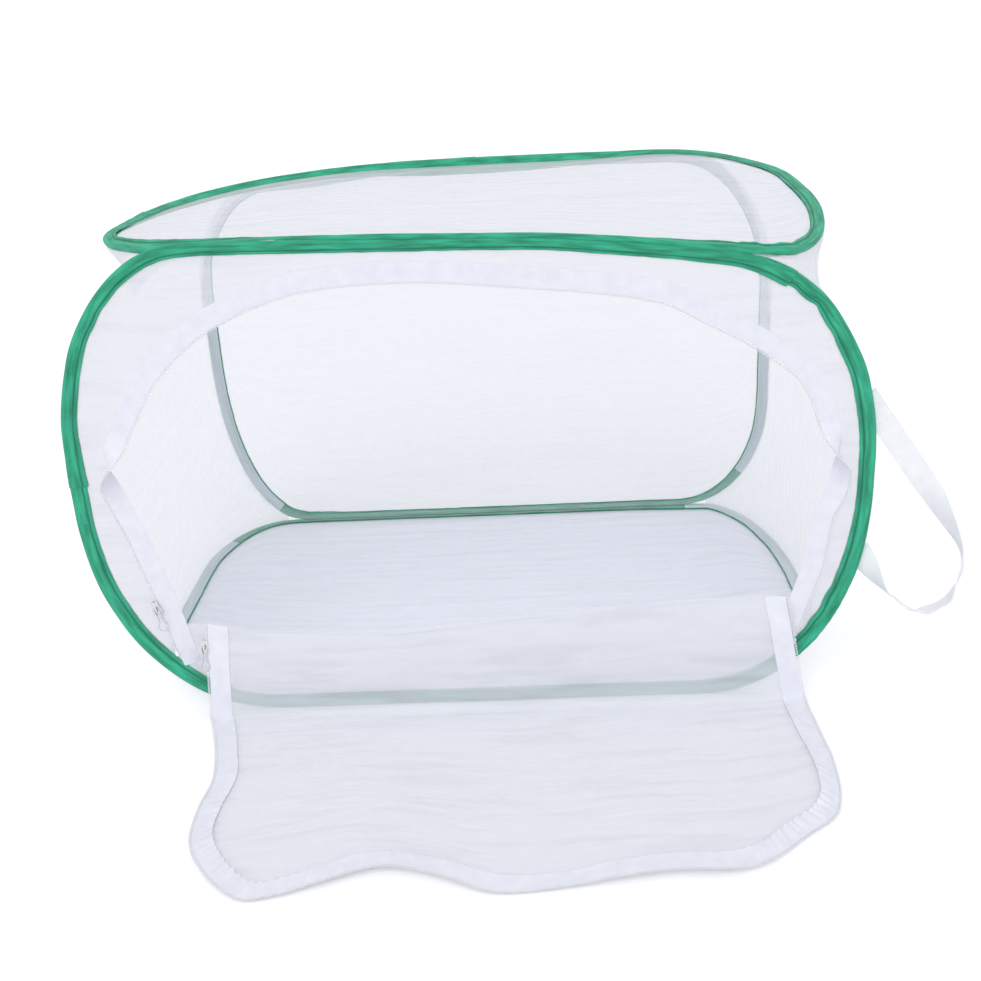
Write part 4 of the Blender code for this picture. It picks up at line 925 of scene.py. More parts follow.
# %% Doorway curve
FRONT_Y = float(PANELS["front"]["ring"][:, 1].mean())
SEAM_TILT, FRONT_SPAN, PANEL_HEIGHT = 10 * MM, 0.643, 0.398
TAPE_WIDTH = 15 * MM
TWIST_HEIGHT, TWIST_RUN, FLIP_DEGREES = 0.222, 0.056, 171
TWIST_LIFT = 0.95 * MM  # how far the turned tape stands off the netting it lies on
DOOR_HALF, DOOR_LOW, DOOR_HIGH = 0.290, 0.047, 0.374
TAPE_SPARE = 1 * MM
END_DIVE, DIVE_RUN = 2.2 * MM, 16 * MM
# The doorway's edge from its lower left, as shares of half its width and of its height
DOOR_SHARES = (
    (-0.858, 0.00), (-0.90, 0.18), (-0.95, 0.35), (-1.00, 0.53), (-0.90, 0.712), (-0.82, 0.80), (-0.68, 0.895),
    (-0.45, 0.976), (-0.175, 1.00), (0.075, 0.99), (0.48, 0.951), (0.66, 0.882), (0.81, 0.806), (0.93, 0.706),
    (1.00, 0.486), (0.96, 0.36), (0.94, 0.234), (0.90, 0.11), (0.862, 0.00),
)


def left_of(line):
    """The way to the left of a flat line, at each of its points."""
    way = np.gradient(line, axis=0)
    way /= np.linalg.norm(way, axis=1)[:, None]
    return np.stack([-way[:, 1], way[:, 0]], axis=1)


def on_front(x, s, out):
    """A place on the front panel, x along it, s up it and out of it, with the tilt of its top seam."""
    rise = -SEAM_TILT * np.clip(2 * x / FRONT_SPAN, -1, 1) * s / PANEL_HEIGHT
    return np.stack([x, FRONT_Y - out, s + rise], axis=1)


def zip_curve():
    """The doorway's edge, with TAPE_SPARE more at both ends, where the tape runs on under the door's."""
    knots = [(a * DOOR_HALF, DOOR_LOW + b * (DOOR_HIGH - DOOR_LOW)) for a, b in DOOR_SHARES]
    line = smooth_line(knots, 24)
    first, last = line[0] - line[1], line[-1] - line[-2]
    first, last = (end / np.linalg.norm(end) * TAPE_SPARE for end in (first, last))
    line = np.vstack([line[0] + first, line, line[-1] + last])
    reached = lengths(line)
    share = np.clip((TWIST_HEIGHT - line[:, 1]) / TWIST_RUN + 0.5, 0, 1)
    turn = math.radians(FLIP_DEGREES) * share**2 * (3 - 2 * share)
    flat, standing = np.cos(turn)[:, None], np.sin(turn)[:, None]
    outward = np.pad(left_of(line), ((0, 0), (0, 1)))
    upright = np.array([[0.0, 0.0, 1.0]])
    ends = np.minimum(reached, reached[-1] - reached)[:, None]
    lift = TWIST_LIFT * (1 - flat) / 2 - END_DIVE * np.clip(1 - ends / DIVE_RUN, 0, 1)
    return {
        "reached": reached,
        "sewn": np.pad(line, ((0, 0), (0, 1))) + outward * flat * TAPE_WIDTH / 2 + upright * lift,
        "across": upright * standing - outward * flat,
        "thick": outward * standing + upright * flat,
    }


door_curve = zip_curve()
ZIP_LENGTH = door_curve["reached"][-1]
print("zip", round(ZIP_LENGTH, 3), "m")


def on_zip(shares, across, out):
    """Places on the cage's half of the zip, for shares of its length."""
    at = np.asarray(shares) * ZIP_LENGTH
    sewn, across_way, thick_way = (
        read_line(at, door_curve["reached"], door_curve[name]) for name in ("sewn", "across", "thick")
    )
    place = sewn + across_way * np.asarray(across)[:, None] + thick_way * np.asarray(out)[:, None]
    return on_front(*place.T)


# %% [markdown]
# ## Front netting
# The front netting is a ring of cloth between the loop and the doorway. Its grid goes round the
# doorway one way and out to the loop the other way. Each place on the doorway's edge is joined to
# the place on the loop that lies in the same direction from the middle of the door. The doorway's
# lower edge is the fold of the door, which isn't quite straight.

# %% Edges of the front netting
FOLD_HEIGHT = 0.080
FOLD_WAVE = 10 * MM
FOLD_WAVE_SHARES = (
    (-1.0, 0.5), (-0.85, -0.4), (-0.55, -0.9), (-0.28, -1.0), (0.0, -0.4), (0.4, 0.3), (0.7, 0.9), (1.0, 1.1)
)
FOLD_LEFT, FOLD_RIGHT = 0.231, 0.252
DOOR_MIDDLE = np.array([0.0, 0.21])
SEW_OVERLAP = 2.5 * MM
EDGE_POINTS = 721


def fold_height(x):
    places, lifts = zip(*FOLD_WAVE_SHARES)
    return FOLD_HEIGHT + FOLD_WAVE * np.interp(x / FOLD_LEFT, places, lifts)


def front_edges():
    """The doorway's edge and the loop's edge as rings of equal count, as (x, s) points."""
    count = 900
    sewn = on_zip(np.linspace(0, 1, count), np.full(count, SEW_OVERLAP), np.zeros(count))[:, [0, 2]]
    sewn = sewn[sewn[:, 1] > fold_height(sewn[:, 0])]
    x = np.linspace(sewn[-1, 0], sewn[0, 0], count // 3)
    fold = np.stack([x, fold_height(x)], axis=1)
    inner = np.vstack([sewn, fold, sewn[:1]])
    inner = along(inner, np.linspace(0, 1, EDGE_POINTS))
    finer = 2 * EDGE_POINTS - 1
    outer = on_loop(PANELS["front"], np.linspace(0, 1, finer), np.full(finer, NET_TUCK), np.zeros(finer))[:, [0, 2]]
    angle_in = np.arctan2(*(inner - DOOR_MIDDLE).T[::-1])
    angle_out = np.arctan2(*(outer - DOOR_MIDDLE).T[::-1])
    order = np.argsort(angle_out)
    outer, angle_out = outer[order], angle_out[order]
    return inner, read_line(angle_in, angle_out, outer, period=2 * math.pi)


door_edge, loop_edge = front_edges()
print("doorway", round(lengths(door_edge)[-1], 3), "m round")

# %% [markdown]
# The ring of cloth is cut as a strip whose ends meet. Its threads run straight across the panel and
# not round the doorway, so its UV map is then replaced by the place on the panel.

# %% Front netting
RING_FLAT, RING_STEPS = (1.9, 0.09), (360, 14)
FRONT_CRINKLE = 0.9 * MM


def lay_front_netting(u, v):
    at = u * (EDGE_POINTS - 1)
    inner, outer = (read_line(at, np.arange(EDGE_POINTS), edge) for edge in (door_edge, loop_edge))
    place = inner + (outer - inner) * v[:, None]
    held = np.sin(math.pi * v)
    out = FRONT_CRINKLE * held * wrinkle(place[:, 0], place[:, 1] * 0.7, 0.045, 31.0)
    return np.stack([place[:, 0], FRONT_Y - out, place[:, 1]], axis=1)


front_netting = cut_cloth(
    "front_netting", RING_FLAT, RING_STEPS, lay_front_netting, 0, netting, closed=True, outer=PANELS["front"]["out"]
)
uv_layer = front_netting.data.uv_layers[0]
loops = np.empty(len(uv_layer.data), np.int32)
front_netting.data.loops.foreach_get("vertex_index", loops)
flat_uv = points_of(front_netting)[loops][:, [0, 2]]
uv_layer.data.foreach_set("uv", flat_uv.astype(np.float32).ravel())
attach(front_netting, "front")
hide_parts("front_net")

# %% [markdown]
# ## Soft ends
# Each end is a square of netting sewn to the four loops, and their spring pulls it into a saddle. Its
# edges move with the loops where these sag. A tree of each loop's points finds the nearest quickly,
# and the four loops' sags are weighed by how near they are, so that the cloth doesn't step between them.

# %% Sag near a place
SAG_REACH = 45 * MM  # how far into the end a loop's sag is felt

for panel in PANELS.values():
    panel["tree"] = kdtree.KDTree(LOOP_POINTS)
    for index, point in enumerate(panel["frame_ring"][:-1]):
        panel["tree"].insert(point, index)
    panel["tree"].balance()


def sag_near(point):
    """The nearest place on any loop, how far it is, and how far the loops' sag moves a place here."""
    found = [(panel, *panel["tree"].find(point)) for panel in PANELS.values()]
    weights = np.array([1 / (gap + MM) ** 2 for _, _, _, gap in found])
    moved = sum(
        weight * math.exp(-((gap / SAG_REACH) ** 2)) * (panel["ring"][at] - panel["frame_ring"][at])
        for weight, (panel, _, at, gap) in zip(weights, found)
    )
    _, near, _, gap = min(found, key=lambda item: item[3])
    return near, gap, moved / weights.sum()


print("loop points in the trees:", len(PANELS) * LOOP_POINTS)


# %% [markdown]
# The frame already holds the saddle as a thin solid. A node's mesh is never changed, so a copy of it
# is merged and turned back to quads. An open sheet gets its UV map from Unwrap, scaled to metres.

# %% Copies of nodes
def copy_of(node, name):
    """A merged copy of a CAD node, in quads where its triangles allow it."""
    piece = bpy.data.objects.new(name, nodes[node].data.copy())
    piece.data.name = name
    bpy.context.scene.collection.objects.link(piece)
    piece.data.materials.clear()
    pick(piece)
    bpy.ops.object.mode_set(mode="EDIT")
    bpy.ops.mesh.select_all(action="SELECT")
    bpy.ops.mesh.remove_doubles(threshold=0.01 * MM)
    bpy.ops.mesh.tris_convert_to_quads(face_threshold=math.radians(60), shape_threshold=math.radians(120))
    bpy.ops.object.mode_set(mode="OBJECT")
    return piece


def unwrap_in_metres(piece):
    """One flat map of an open sheet, scaled so that its area is the sheet's own."""
    for layer in list(piece.data.uv_layers):
        piece.data.uv_layers.remove(layer)
    piece.data.uv_layers.new(name="cloth")
    pick(piece)
    bpy.ops.object.mode_set(mode="EDIT")
    bpy.ops.mesh.select_all(action="SELECT")
    bpy.ops.uv.unwrap(method="ANGLE_BASED", margin=0)
    bpy.ops.object.mode_set(mode="OBJECT")
    layer = piece.data.uv_layers["cloth"]
    uv = np.empty(len(layer.data) * 2, np.float32)
    layer.data.foreach_get("uv", uv)
    uv = uv.reshape(-1, 2).astype(float)
    piece.data.calc_loop_triangles()
    corners = np.array([triangle.loops for triangle in piece.data.loop_triangles])
    a, b, c = (uv[corners[:, k]] for k in range(3))
    flat_area = np.abs((b - a)[:, 0] * (c - a)[:, 1] - (b - a)[:, 1] * (c - a)[:, 0]).sum() / 2
    area = sum(face.area for face in piece.data.polygons)
    layer.data.foreach_set("uv", (uv * math.sqrt(area / flat_area)).astype(np.float32).ravel())
    print(piece.name, round(area, 3), "square metres")


# %% [markdown]
# The copy is cut down to its outer skin and subdivided. Its border is tucked under the bindings, and
# fine folds run in from there.

# %% Ends
END_TUCK = 1.7 * MM
END_BORDER = 6 * MM  # how near the wires the cloth is tucked
END_FOLD, END_FOLD_RUN, END_FOLD_SIZE = 1.6 * MM, 60 * MM, (0.03, 0.08)
CAGE_MIDDLE = np.array([0.0, 0.0, 0.2])


def soft_end(side):
    end = copy_of(f"{side}_end", f"{side}_end_netting")
    centres = np.array([face.center for face in end.data.polygons])
    normals = np.array([face.normal for face in end.data.polygons])
    inner = ((centres - CAGE_MIDDLE) * normals).sum(axis=1) <= 0
    pick(end)
    bpy.context.tool_settings.mesh_select_mode = (False, False, True)
    end.data.vertices.foreach_set("select", np.zeros(len(end.data.vertices), bool))
    end.data.edges.foreach_set("select", np.zeros(len(end.data.edges), bool))
    end.data.polygons.foreach_set("select", inner)
    bpy.ops.object.mode_set(mode="EDIT")
    bpy.ops.mesh.delete(type="FACE")
    bpy.ops.object.mode_set(mode="OBJECT")
    rounding = end.modifiers.new("rounding", "SUBSURF")
    rounding.levels = rounding.render_levels = 2
    apply_modifiers(end)
    points = points_of(end)
    inside = 1 if side == "left" else -1
    for index, point in enumerate(points):
        near, gap, moved = sag_near(point)
        if gap < END_BORDER:
            points[index] = point + (np.array(near) - point) * max(0.0, 1 - END_TUCK / gap)
        else:
            held = min((gap - END_BORDER) / END_FOLD_RUN, 1)
            place = (point[1] / END_FOLD_SIZE[0], point[2] / END_FOLD_SIZE[1], 5.0 * inside)
            points[index, 0] += END_FOLD * held * noise.fractal(Vector(place), 1.0, 2.0, 3)
        points[index] += moved
    move_points(end, points)
    unwrap_in_metres(end)
    end.data.shade_smooth()
    end.data.materials.append(netting)
    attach(end, "base")
    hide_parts(f"{side}_end")
    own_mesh(end)
    return end


for side in ("left", "right"):
    print(side, "end", len(soft_end(side).data.polygons), "faces")

# %% [markdown]
# ## Zip tape and coil on the cage
# The tape is a strip laid along the doorway's curve. The teeth of this kind of zip are one nylon
# thread wound into a coil along the tape's edge, so they are a curve with a round bevel that turns
# once for each tooth. A real turn is 1.3 mm long. It is wound at 2 mm here, so that it shows.

# %% Tape and coil of the cage
TAPE_THICK = 0.5 * MM
TAPE_UNDER = 0.4 * MM  # how far the tape goes on under its coil
TAPE_RUFFLE = 0.5 * MM
COIL_REACH = 1.4 * MM  # from the tape's edge to the coil's middle
COIL_PITCH, COIL_THREAD = 2.0 * MM, 0.38 * MM
COIL_RADII = (0.95 * MM, 0.855 * MM)
COIL_START = 0.012  # share of the tape that is bare at each end
TURN_POINTS = 7


def lay_zip_tape(u, v):
    ruffle = wrinkle(u * ZIP_LENGTH, v * 0.002, 0.02, 41.0) * v
    return on_zip(u, v * (TAPE_WIDTH + TAPE_UNDER), TAPE_RUFFLE * ruffle)


def wound_coil(name, length, place):
    """One coil of nylon, wound along a line that place(shares, across, out) gives."""
    turns = int(length / COIL_PITCH)
    t = np.arange(turns * TURN_POINTS + 1) / (turns * TURN_POINTS)
    angle = 2 * math.pi * turns * t
    points = place(t, COIL_RADII[0] * np.cos(angle), COIL_RADII[1] * np.sin(angle))
    return round_thread(name, points, COIL_THREAD, 0, nylon)


def cage_coil_place(t, across, out):
    return on_zip(COIL_START + t * (1 - 2 * COIL_START), TAPE_WIDTH + COIL_REACH + across, out)


tape_flat = (ZIP_LENGTH, TAPE_WIDTH)
cage_tape = cut_cloth("cage_zip_cloth", tape_flat, (420, 8), lay_zip_tape, TAPE_THICK, white_tape)
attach(cage_tape, "front")
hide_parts("cage_zip_tape")

cage_coil = wound_coil("cage_coil_teeth", ZIP_LENGTH * (1 - 2 * COIL_START), cage_coil_place)
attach(cage_coil, "front")
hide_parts("cage_zip_coil")

# %% [markdown]
# ## The door's cloth
# The door hangs from its fold over the front binding, bends at the table and lies on it. Its outline
# on the table is read from the photograph: the left side, the far edge and the right side, as places
# beside the line where it meets the table. The three are joined into one free edge, along which the
# zip's other half runs, with its corners rounded off.

# %% The door's outline
DOOR_WIDTH, DOOR_REACH = 0.270, 0.234
LINE_STEPS, FREE_POINTS = 12, 601
# Across and forwards from the middle of the floor line, as shares of the width and the reach
LEFT_SHARES = (
    (-0.870, 0.000), (-0.815, 0.210), (-0.785, 0.390), (-0.795, 0.560), (-0.780, 0.735), (-0.690, 0.900),
    (-0.600, 0.985),
)
FAR_SHARES = (
    (-0.600, 0.985), (-0.500, 0.960), (-0.400, 0.920), (-0.285, 0.870), (-0.195, 0.875), (-0.080, 0.920),
    (0.035, 0.975), (0.195, 0.965), (0.480, 0.920), (0.640, 0.920), (0.745, 0.875), (0.865, 0.755),
)
RIGHT_SHARES = (
    (0.992, 0.000), (0.993, 0.105), (0.996, 0.210), (1.000, 0.390), (0.985, 0.565), (0.950, 0.675), (0.865, 0.755)
)


def door_line(shares):
    return smooth_line([(a * DOOR_WIDTH, b * DOOR_REACH) for a, b in shares], LINE_STEPS)


def rounded_off(line, half=7):
    """A line with its corners rounded by a running mean, its ends held."""
    wide = np.vstack([2 * line[0] - line[half:0:-1], line, 2 * line[-1] - line[-2 : -half - 2 : -1]])
    shares = np.full(2 * half + 1, 1 / (2 * half + 1))
    return np.stack([np.convolve(column, shares, "valid") for column in wide.T], axis=1)


left_line, far_line, right_line = (door_line(shares) for shares in (LEFT_SHARES, FAR_SHARES, RIGHT_SHARES))
free_edge = np.vstack([left_line, far_line[1:], right_line[::-1][1:]])
free_edge = rounded_off(along(free_edge, np.linspace(0, 1, FREE_POINTS)))
EDGE_LENGTH = lengths(free_edge)[-1]
print("free edge", round(EDGE_LENGTH, 3), "m")

# %% [markdown]
# One height for each place on the table gives the long waves of the free edge and the crinkles behind
# it. The hanging part and the lying part are two pieces, as the door bends between them when it is
# closed. They meet in the middle of that bend, and one function gives the place of both.

# %% How the door lies
CLOTH_OUT, FLOOR_LINE_OUT = 1.7 * MM, 14.2 * MM
FLOOR_LINE_Y = FRONT_Y - FLOOR_LINE_OUT
COIL_HALF = 1.0 * MM
HANG_LENGTH = math.hypot(FOLD_HEIGHT - COIL_HALF, FLOOR_LINE_OUT - CLOTH_OUT)
BEND = 9 * MM  # how far above and beyond the floor line the bend starts
DOOR_LIFT = 0.5 * MM  # of the cloth's middle over the table
WAVE_HEIGHT, WAVE_LENGTH, WAVE_CREST = 6 * MM, 0.205, -0.065
LYING_CRINKLE, LYING_CRINKLE_SIZE, CRINKLE_RUN = 1.8 * MM, 0.055, 0.03
BELLY, BELLY_WAVE, BELLY_CRINKLE = 0.8 * MM, 2.0 * MM, 1.6 * MM


def lying_height(x, d):
    """Height of the door's cloth over the table, d in front of the floor line."""
    crest = (1 + np.cos(2 * math.pi * (x - WAVE_CREST) / WAVE_LENGTH)) / 2
    lift = WAVE_HEIGHT * crest * (np.clip(d, 0, None) / DOOR_REACH) ** 2
    crinkle = np.clip(wrinkle(x, d, LYING_CRINKLE_SIZE, 51.0), -0.3, 1) * LYING_CRINKLE
    return DOOR_LIFT + lift + np.clip(d / CRINKLE_RUN, 0, 1) * np.clip(crinkle + LYING_CRINKLE / 3, 0, None)


def bend_profile(q):
    """The cloth's (out, up) near the floor line, q along it from above, as a quadratic curve."""
    hang = np.array([-CLOTH_OUT + FLOOR_LINE_OUT, -(FOLD_HEIGHT - COIL_HALF)])
    hang /= np.linalg.norm(hang)
    t = np.clip(q / (2 * BEND) + 0.5, 0, 1)[:, None]
    start, corner, end = -hang * BEND, np.zeros(2), np.array([BEND, 0.0])
    bent = start * (1 - t) ** 2 + corner * 2 * t * (1 - t) + end * t**2
    above = np.minimum(q + BEND, 0)[:, None] * hang
    beyond = np.maximum(q - BEND, 0)[:, None] * np.array([1.0, 0.0])
    return bent + above + beyond


def on_door(x, q, out=0.0):
    """A place on the door's cloth: q along it from the floor line, negative up towards the fold."""
    bent = bend_profile(q)
    up_share = np.clip(-q / HANG_LENGTH, 0, 1)
    lift = (fold_height(x) - FOLD_HEIGHT) * up_share
    crest = (1 - np.cos(2 * math.pi * (x - WAVE_CREST) / WAVE_LENGTH)) / 2
    belly = np.sin(math.pi * up_share) * (BELLY_WAVE * crest + BELLY_CRINKLE * wrinkle(x, q, 0.05, 61.0) + BELLY)
    height = np.where(q > 0, lying_height(x, q), DOOR_LIFT)
    y = FLOOR_LINE_Y - bent[:, 0] - belly
    z = bent[:, 1] + height + lift + COIL_HALF * up_share
    lying = np.clip(q / BEND + 0.5, 0, 1)
    return np.stack([x, y - out * (1 - lying), z + out * lying], axis=1)


def side_x(side, up_share):
    """Where the hanging door's left or right edge is, at a share of the way up to the fold."""
    low, top = (left_line[0, 0], -FOLD_LEFT) if side < 0 else (right_line[0, 0], FOLD_RIGHT)
    return low + (top - low) * np.asarray(up_share)


print("door hangs", round(HANG_LENGTH / MM), "mm from its fold to the table")

# %% [markdown]
# The netting of the door reaches under its tape. On the table it is laid as a patch between its four
# edges: the floor line, the two sides and the far edge. Above that it is a plain strip of columns,
# with a narrow second layer at the top, where the fold is pressed.

# %% Door netting
UNDER_TAPE = 6 * MM
FOLD_CREASE = 2.5 * MM
CREASE_OUT = 0.3 * MM
LYING_FLAT, HANGING_FLAT = (0.50, 0.225), (0.48, HANG_LENGTH)


def drawn_in(line, inward):
    return line - left_of(line) * inward


def lay_lying_net(u, v):
    """A patch blended between its four edges, less the blend of its corners."""
    left, far, right_side = (
        drawn_in(left_line, UNDER_TAPE),
        drawn_in(far_line, UNDER_TAPE),
        drawn_in(right_line[::-1], UNDER_TAPE)[::-1],
    )
    left[-1] = far[0] = (left[-1] + far[0]) / 2
    right_side[-1] = far[-1] = (right_side[-1] + far[-1]) / 2
    left[0, 1] = right_side[0, 1] = 0
    a, b = along(left, v), along(right_side, v)
    c = np.stack([left[0, 0] + (right_side[0, 0] - left[0, 0]) * u, 0 * u], axis=1)
    d = along(far, u)
    uu, vv = u[:, None], v[:, None]
    corners = (left[0] * (1 - uu) + right_side[0] * uu) * (1 - vv) + (left[-1] * (1 - uu) + right_side[-1] * uu) * vv
    place = a * (1 - uu) + b * uu + c * (1 - vv) + d * vv - corners
    return on_door(place[:, 0], place[:, 1])


def lay_hanging_net(u, v):
    left, right_side = side_x(-1, v) + UNDER_TAPE, side_x(1, v) - UNDER_TAPE
    return on_door(left + (right_side - left) * u, -v * HANG_LENGTH)


def lay_fold_crease(u, v):
    left, right_side = side_x(-1, 1) + UNDER_TAPE, side_x(1, 1) - UNDER_TAPE
    return on_door(left + (right_side - left) * u, -HANG_LENGTH + (0.5 - v) * FOLD_CREASE, CREASE_OUT)


lying_net = cut_cloth("door_lying_netting", LYING_FLAT, (130, 64), lay_lying_net, 0, shaded_door_netting, outer=(0, 0, 1))
hanging_net = cut_cloth(
    "door_hanging_netting", HANGING_FLAT, (130, 30), lay_hanging_net, 0, shaded_door_netting, outer=(0, -1, 0)
)
fold_flat = (HANGING_FLAT[0], FOLD_CREASE)
fold_crease = cut_cloth("door_fold_crease", fold_flat, (130, 2), lay_fold_crease, 0, shaded_door_netting, outer=(0, -1, 0))
pick(hanging_net)
fold_crease.select_set(True)
bpy.ops.object.join()
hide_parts("door_net_floor")
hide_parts("door_net_hanging")

# %% [markdown]
# ## Zip tape and coil of the door
# The door's half of the zip is one tape in the real cage. Here it is a lying piece round the free edge
# and a hanging piece at each side, because the door bends between them. Where the tape was sewn on
# tighter than the netting it is gathered, most at the two front corners, and a wave along it draws
# the puckers. The coil is wound along its outer edge and follows the same wave.

# %% Door tape
DOOR_TAPE = 17 * MM  # with the hem of the netting folded under it
DOOR_TAPE_OUT = 0.45 * MM
GATHER_SWAY, GATHER_LIFT, GATHER_PITCH = 0.2 * MM, 0.9 * MM, 8 * MM
GATHER_LEAST = 0.15
# How far along the free edge from its left and right ends the tape is gathered most, and how widely
GATHER_LEFT, GATHER_RIGHT = (0.21, 0.075), (0.17, 0.07)
SIDES = ((-1, "left"), (1, "right"))


def gathered(s):
    """How much the tape is gathered at a distance along the free edge, and its puckers from -1 to 1."""
    left = np.exp(-(((s - GATHER_LEFT[0]) / GATHER_LEFT[1]) ** 2))
    right_side = np.exp(-(((s - (EDGE_LENGTH - GATHER_RIGHT[0])) / GATHER_RIGHT[1]) ** 2))
    wave = np.sin(2 * math.pi * s / GATHER_PITCH + 5 * wrinkle(s, 0 * s, 0.035, 71.0))
    return GATHER_LEAST + left + right_side, wave


def lay_lying_tape(u, v):
    edge, ways = along(free_edge, u), along(left_of(free_edge), u)
    gather, wave = gathered(u * EDGE_LENGTH)
    place = edge - ways * (DOOR_TAPE * v + GATHER_SWAY * gather * wave)[:, None]
    lift = GATHER_LIFT * gather * (1 + wave) * (0.25 + 0.75 * v)
    return on_door(place[:, 0], np.clip(place[:, 1], 0, None), DOOR_TAPE_OUT + lift)


def lay_side_tape(side):
    def lay(u, v):
        x = side_x(side, v) - side * DOOR_TAPE * (1 - u if side > 0 else u)
        ripple = 0.25 * MM * wrinkle(u * 0.002, v * 0.08, 0.02, 81.0 + side)
        return on_door(x, -v * HANG_LENGTH, DOOR_TAPE_OUT + ripple)

    return lay


lying_flat, side_flat = (EDGE_LENGTH, DOOR_TAPE), (DOOR_TAPE, HANG_LENGTH)
lying_tape = cut_cloth("door_lying_tape", lying_flat, (520, 8), lay_lying_tape, TAPE_THICK, white_tape)
tape_pieces = {"door_tape_floor": lying_tape}
for side, label in SIDES:
    name, laid = f"door_{label}_tape_cloth", lay_side_tape(side)
    tape_pieces[f"door_tape_{label}"] = cut_cloth(name, side_flat, (8, 40), laid, TAPE_THICK, white_tape)

# %% [markdown]
# The coil stands a little proud of the tape's edge. At the sides it starts at the fold and is wound
# down to the table.

# %% Door coil
DOOR_COIL_REACH = 0.8 * COIL_REACH
LYING_COIL_OUT, SIDE_COIL_OUT = 1.0 * MM, 0.55 * MM


def lying_coil_place(t, across, out):
    edge, ways = along(free_edge, t), along(left_of(free_edge), t)
    gather, wave = gathered(t * EDGE_LENGTH)
    place = edge + ways * (DOOR_COIL_REACH + across - GATHER_SWAY * gather * wave)[:, None]
    lift = GATHER_LIFT * 0.25 * gather * (1 + wave)
    return on_door(place[:, 0], np.clip(place[:, 1], 0, None), LYING_COIL_OUT + lift + out)


def side_coil_place(side):
    def place(t, across, out):
        up_share = 1 - t
        x = side_x(side, up_share) + side * (DOOR_COIL_REACH + across)
        return on_door(x, -up_share * HANG_LENGTH, SIDE_COIL_OUT + out)

    return place


coil_pieces = {"door_coil_floor": wound_coil("door_lying_coil", EDGE_LENGTH, lying_coil_place)}
for side, label in SIDES:
    coil_pieces[f"door_coil_{label}"] = wound_coil(f"door_{label}_coil_teeth", HANG_LENGTH, side_coil_place(side))

# %% [markdown]
# ## The door's pieces in place
# Closing the door turns it up about its fold and straightens it at the floor line. Here each hanging
# and lying piece has its place baked into its mesh, and the frame's door tapes and coils are hidden.

hanging = [hanging_net, tape_pieces["door_tape_left"], tape_pieces["door_tape_right"]]
hanging += [coil_pieces["door_coil_left"], coil_pieces["door_coil_right"]]
for piece in hanging:
    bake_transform(piece)
lying = [lying_net, tape_pieces["door_tape_floor"], coil_pieces["door_coil_floor"]]
for piece in lying:
    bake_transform(piece)
for node, piece in {**tape_pieces, **coil_pieces}.items():
    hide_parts(node)
print("blended at the fold:", len(hanging), "and at the floor line:", len(lying))

# %% [markdown]
# ## Strap
# The strap is flat webbing, sewn into the seam behind the binding at its two ends. It leaves facing
# forwards, and turns on edge at the bottom of its loop. Its route is the frame's, as places beside the
# front panel, with a tail at both ends that passes behind the tape. A short second layer at the top is
# the end of the webbing, folded back and sewn down.

# %% Strap
STRAP_EDGE, STRAP_REACH, STRAP_LOW, STRAP_RISE = 0.3175, 0.079, 0.083, 0.1755
STRAP_WIDTH, STRAP_THICK = 19 * MM, 1.2 * MM
STRAP_CLEAR = 0.9 * MM
# Places along it: out from the panel's edge and up as shares, turn in degrees, and how far back in mm
STRAP_ROUTE = (
    (-0.13, 1.057, 0, 4.4), (-0.070, 1.017, 0, 4.4), (0.190, 0.844, 0, 1.8),
    (0.405, 0.697, 3, 0), (0.580, 0.578, 30, 0), (0.740, 0.448, 60, 0), (0.870, 0.331, 86, 0),
    (0.920, 0.244, 108, 0), (0.920, 0.163, 122, 0), (0.847, 0.056, 104, 0), (0.730, 0.006, 106, 0),
    (0.600, -0.020, 99, 0), (0.500, -0.020, 117, 0), (0.325, 0.034, 96, 0), (0.197, 0.084, 100, 0),
    (0.100, 0.135, 112, 0), (0.030, 0.185, 135, 2.5), (-0.030, 0.235, 165, 4.4), (-0.10, 0.29, 180, 4.4),
)
STRAP_STEPS = 8  # between two places of the route
STRAP_RIPPLE = 0.5 * MM
strap_route = smooth_line(STRAP_ROUTE, STRAP_STEPS)
strap_flat = strap_route[:, :2] * np.array([STRAP_REACH, STRAP_RISE]) + np.array([STRAP_EDGE, STRAP_LOW])
strap_reached = lengths(strap_flat)
STRAP_LENGTH = strap_reached[-1]
strap_left = left_of(strap_flat)


def lay_strap(start, end, raised):
    def lay(u, v):
        at = (start + (end - start) * u) * STRAP_LENGTH
        place, left = (read_line(at, strap_reached, line) for line in (strap_flat, strap_left))
        turn = np.radians(np.interp(at, strap_reached, strap_route[:, 2]))
        back = np.interp(at, strap_reached, strap_route[:, 3]) * MM
        across = (v - 0.5) * STRAP_WIDTH
        ripple = STRAP_RIPPLE * wrinkle(at, v * 0.01, 0.03, 91.0)
        side = across * np.cos(turn) - raised * np.sin(turn)
        out = STRAP_CLEAR + STRAP_WIDTH / 2 * np.sin(turn) - back + across * np.sin(turn) + raised * np.cos(turn)
        place = place + left * side[:, None]
        return on_front(place[:, 0], place[:, 1], out + ripple)

    return lay


strap_flat_size = (STRAP_LENGTH, STRAP_WIDTH)
strap = cut_cloth("strap_webbing", strap_flat_size, (150, 12), lay_strap(0, 1, 0), STRAP_THICK, webbing)
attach(strap, "front")
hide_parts("carry_strap")

TAB_SHARES = (0.005, 0.085)
tab_flat = (STRAP_LENGTH * (TAB_SHARES[1] - TAB_SHARES[0]), STRAP_WIDTH)
tab = cut_cloth("strap_folded_end", tab_flat, (24, 12), lay_strap(*TAB_SHARES, STRAP_THICK), STRAP_THICK, webbing)
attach(tab, "front")
print("strap", round(STRAP_LENGTH, 3), "m")

# %% [markdown]
# ## Sliders and stops
# The frame's sliders and stops have their real form. Die casting and moulding leave no sharp edge, so
# a merged copy of each is given a small bevel.

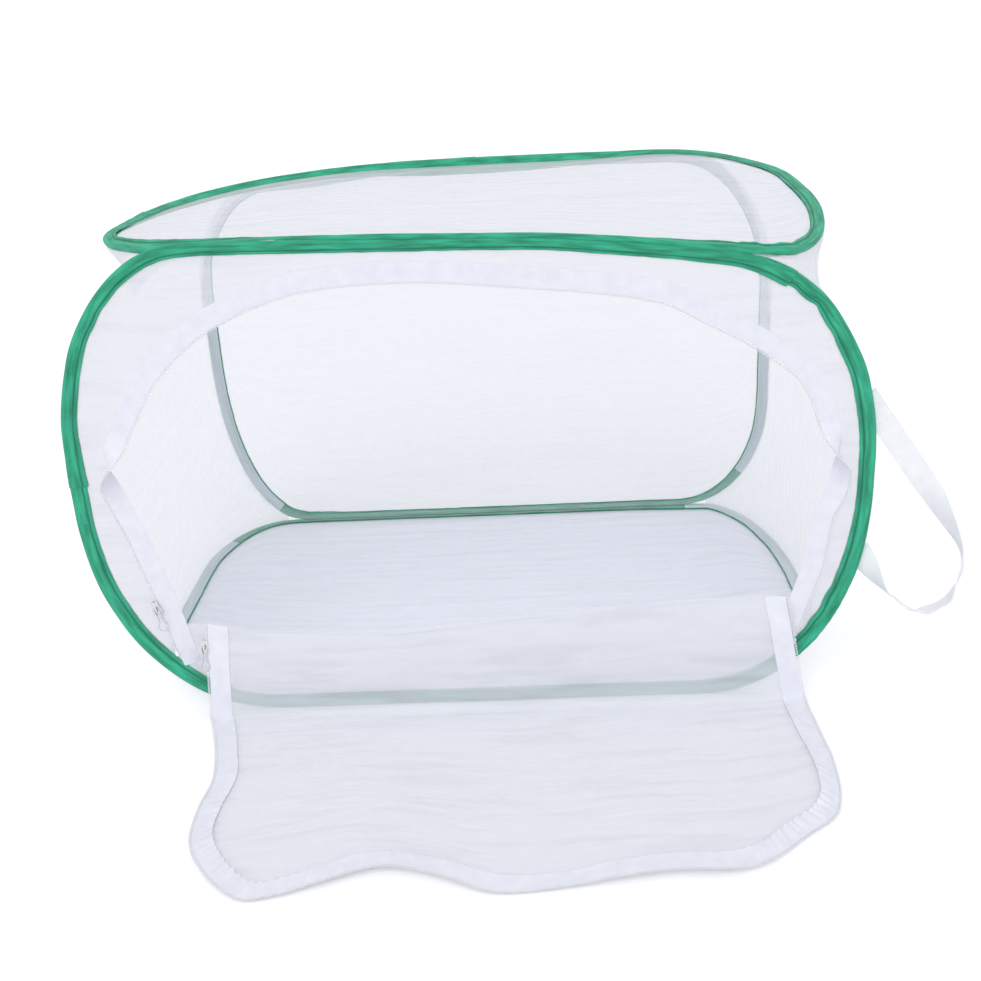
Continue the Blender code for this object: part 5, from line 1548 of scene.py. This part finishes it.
# %% Cast and moulded parts
PART_SMOOTH_DEGREES = 35
HARDWARE = {
    "upper_slider": ("front", 0.12 * MM, plated, "plated_zinc"),
    "lower_slider": ("door_upper", 0.12 * MM, plated, "plated_zinc"),
    "zip_stop_left": ("front", 0.25 * MM, nylon, "zip_coil"),
    "zip_stop_right": ("front", 0.25 * MM, nylon, "zip_coil"),
}
for node, (body, width, material, slot) in HARDWARE.items():
    part = copy_of(node, f"{node}_cast")
    bevel = part.modifiers.new("edge", "BEVEL")
    bevel.width = width
    bevel.segments = 2
    bevel.limit_method = "ANGLE"
    apply_modifiers(part)
    pick(part)
    bpy.ops.object.shade_smooth_by_angle(angle=math.radians(PART_SMOOTH_DEGREES))
    part.data.materials.append(material)
    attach(part, body)
    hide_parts(node)
    print(node, len(part.data.polygons), "faces")

# %% [markdown]
# ## Pulls and ferrules
# A pull is bent from wire. The frame's has a coarse section, so a copy is subdivided to make it
# round, with its sharp edges creased first so that its cut ends stay flat. The ferrules are hidden
# inside their tape and only get their steel.

# %% Pulls and ferrules
CREASE_DEGREES = 50
PULL_LEVELS = 2

for label in ("upper", "lower"):
    pull = copy_of(f"{label}_pull", f"{label}_pull_wire")
    pick(pull)
    bpy.ops.object.mode_set(mode="EDIT")
    bpy.ops.mesh.select_all(action="DESELECT")
    bpy.ops.mesh.select_mode(type="EDGE")
    bpy.ops.mesh.edges_select_sharp(sharpness=math.radians(CREASE_DEGREES))
    bpy.ops.transform.edge_crease(value=1.0)
    bpy.ops.object.mode_set(mode="OBJECT")
    rounding = pull.modifiers.new("rounding", "SUBSURF")
    rounding.levels = rounding.render_levels = PULL_LEVELS
    apply_modifiers(pull)
    pull.data.shade_smooth()
    pull.data.materials.append(plated)
    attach(pull, f"{label}_pull")
    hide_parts(f"{label}_pull")
    print(label, "pull", len(pull.data.polygons), "faces")

for key in PANELS:
    node = nodes[f"{key}_ferrule"]
    node.data.materials.clear()
    node.data.materials.append(spring_steel)

# %% [markdown]
# ## Sizes
# Last, the box of the dressed cage less the box of the frame is printed in millimetres, so that the
# two can be compared.

# %% Finish
visual_box = [list(corner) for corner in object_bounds()]
grown = [[round((b - a) / MM, 2) for a, b in zip(*pair)] for pair in zip(cad_box, visual_box)]
print("visual box less CAD box, mm:", grown)
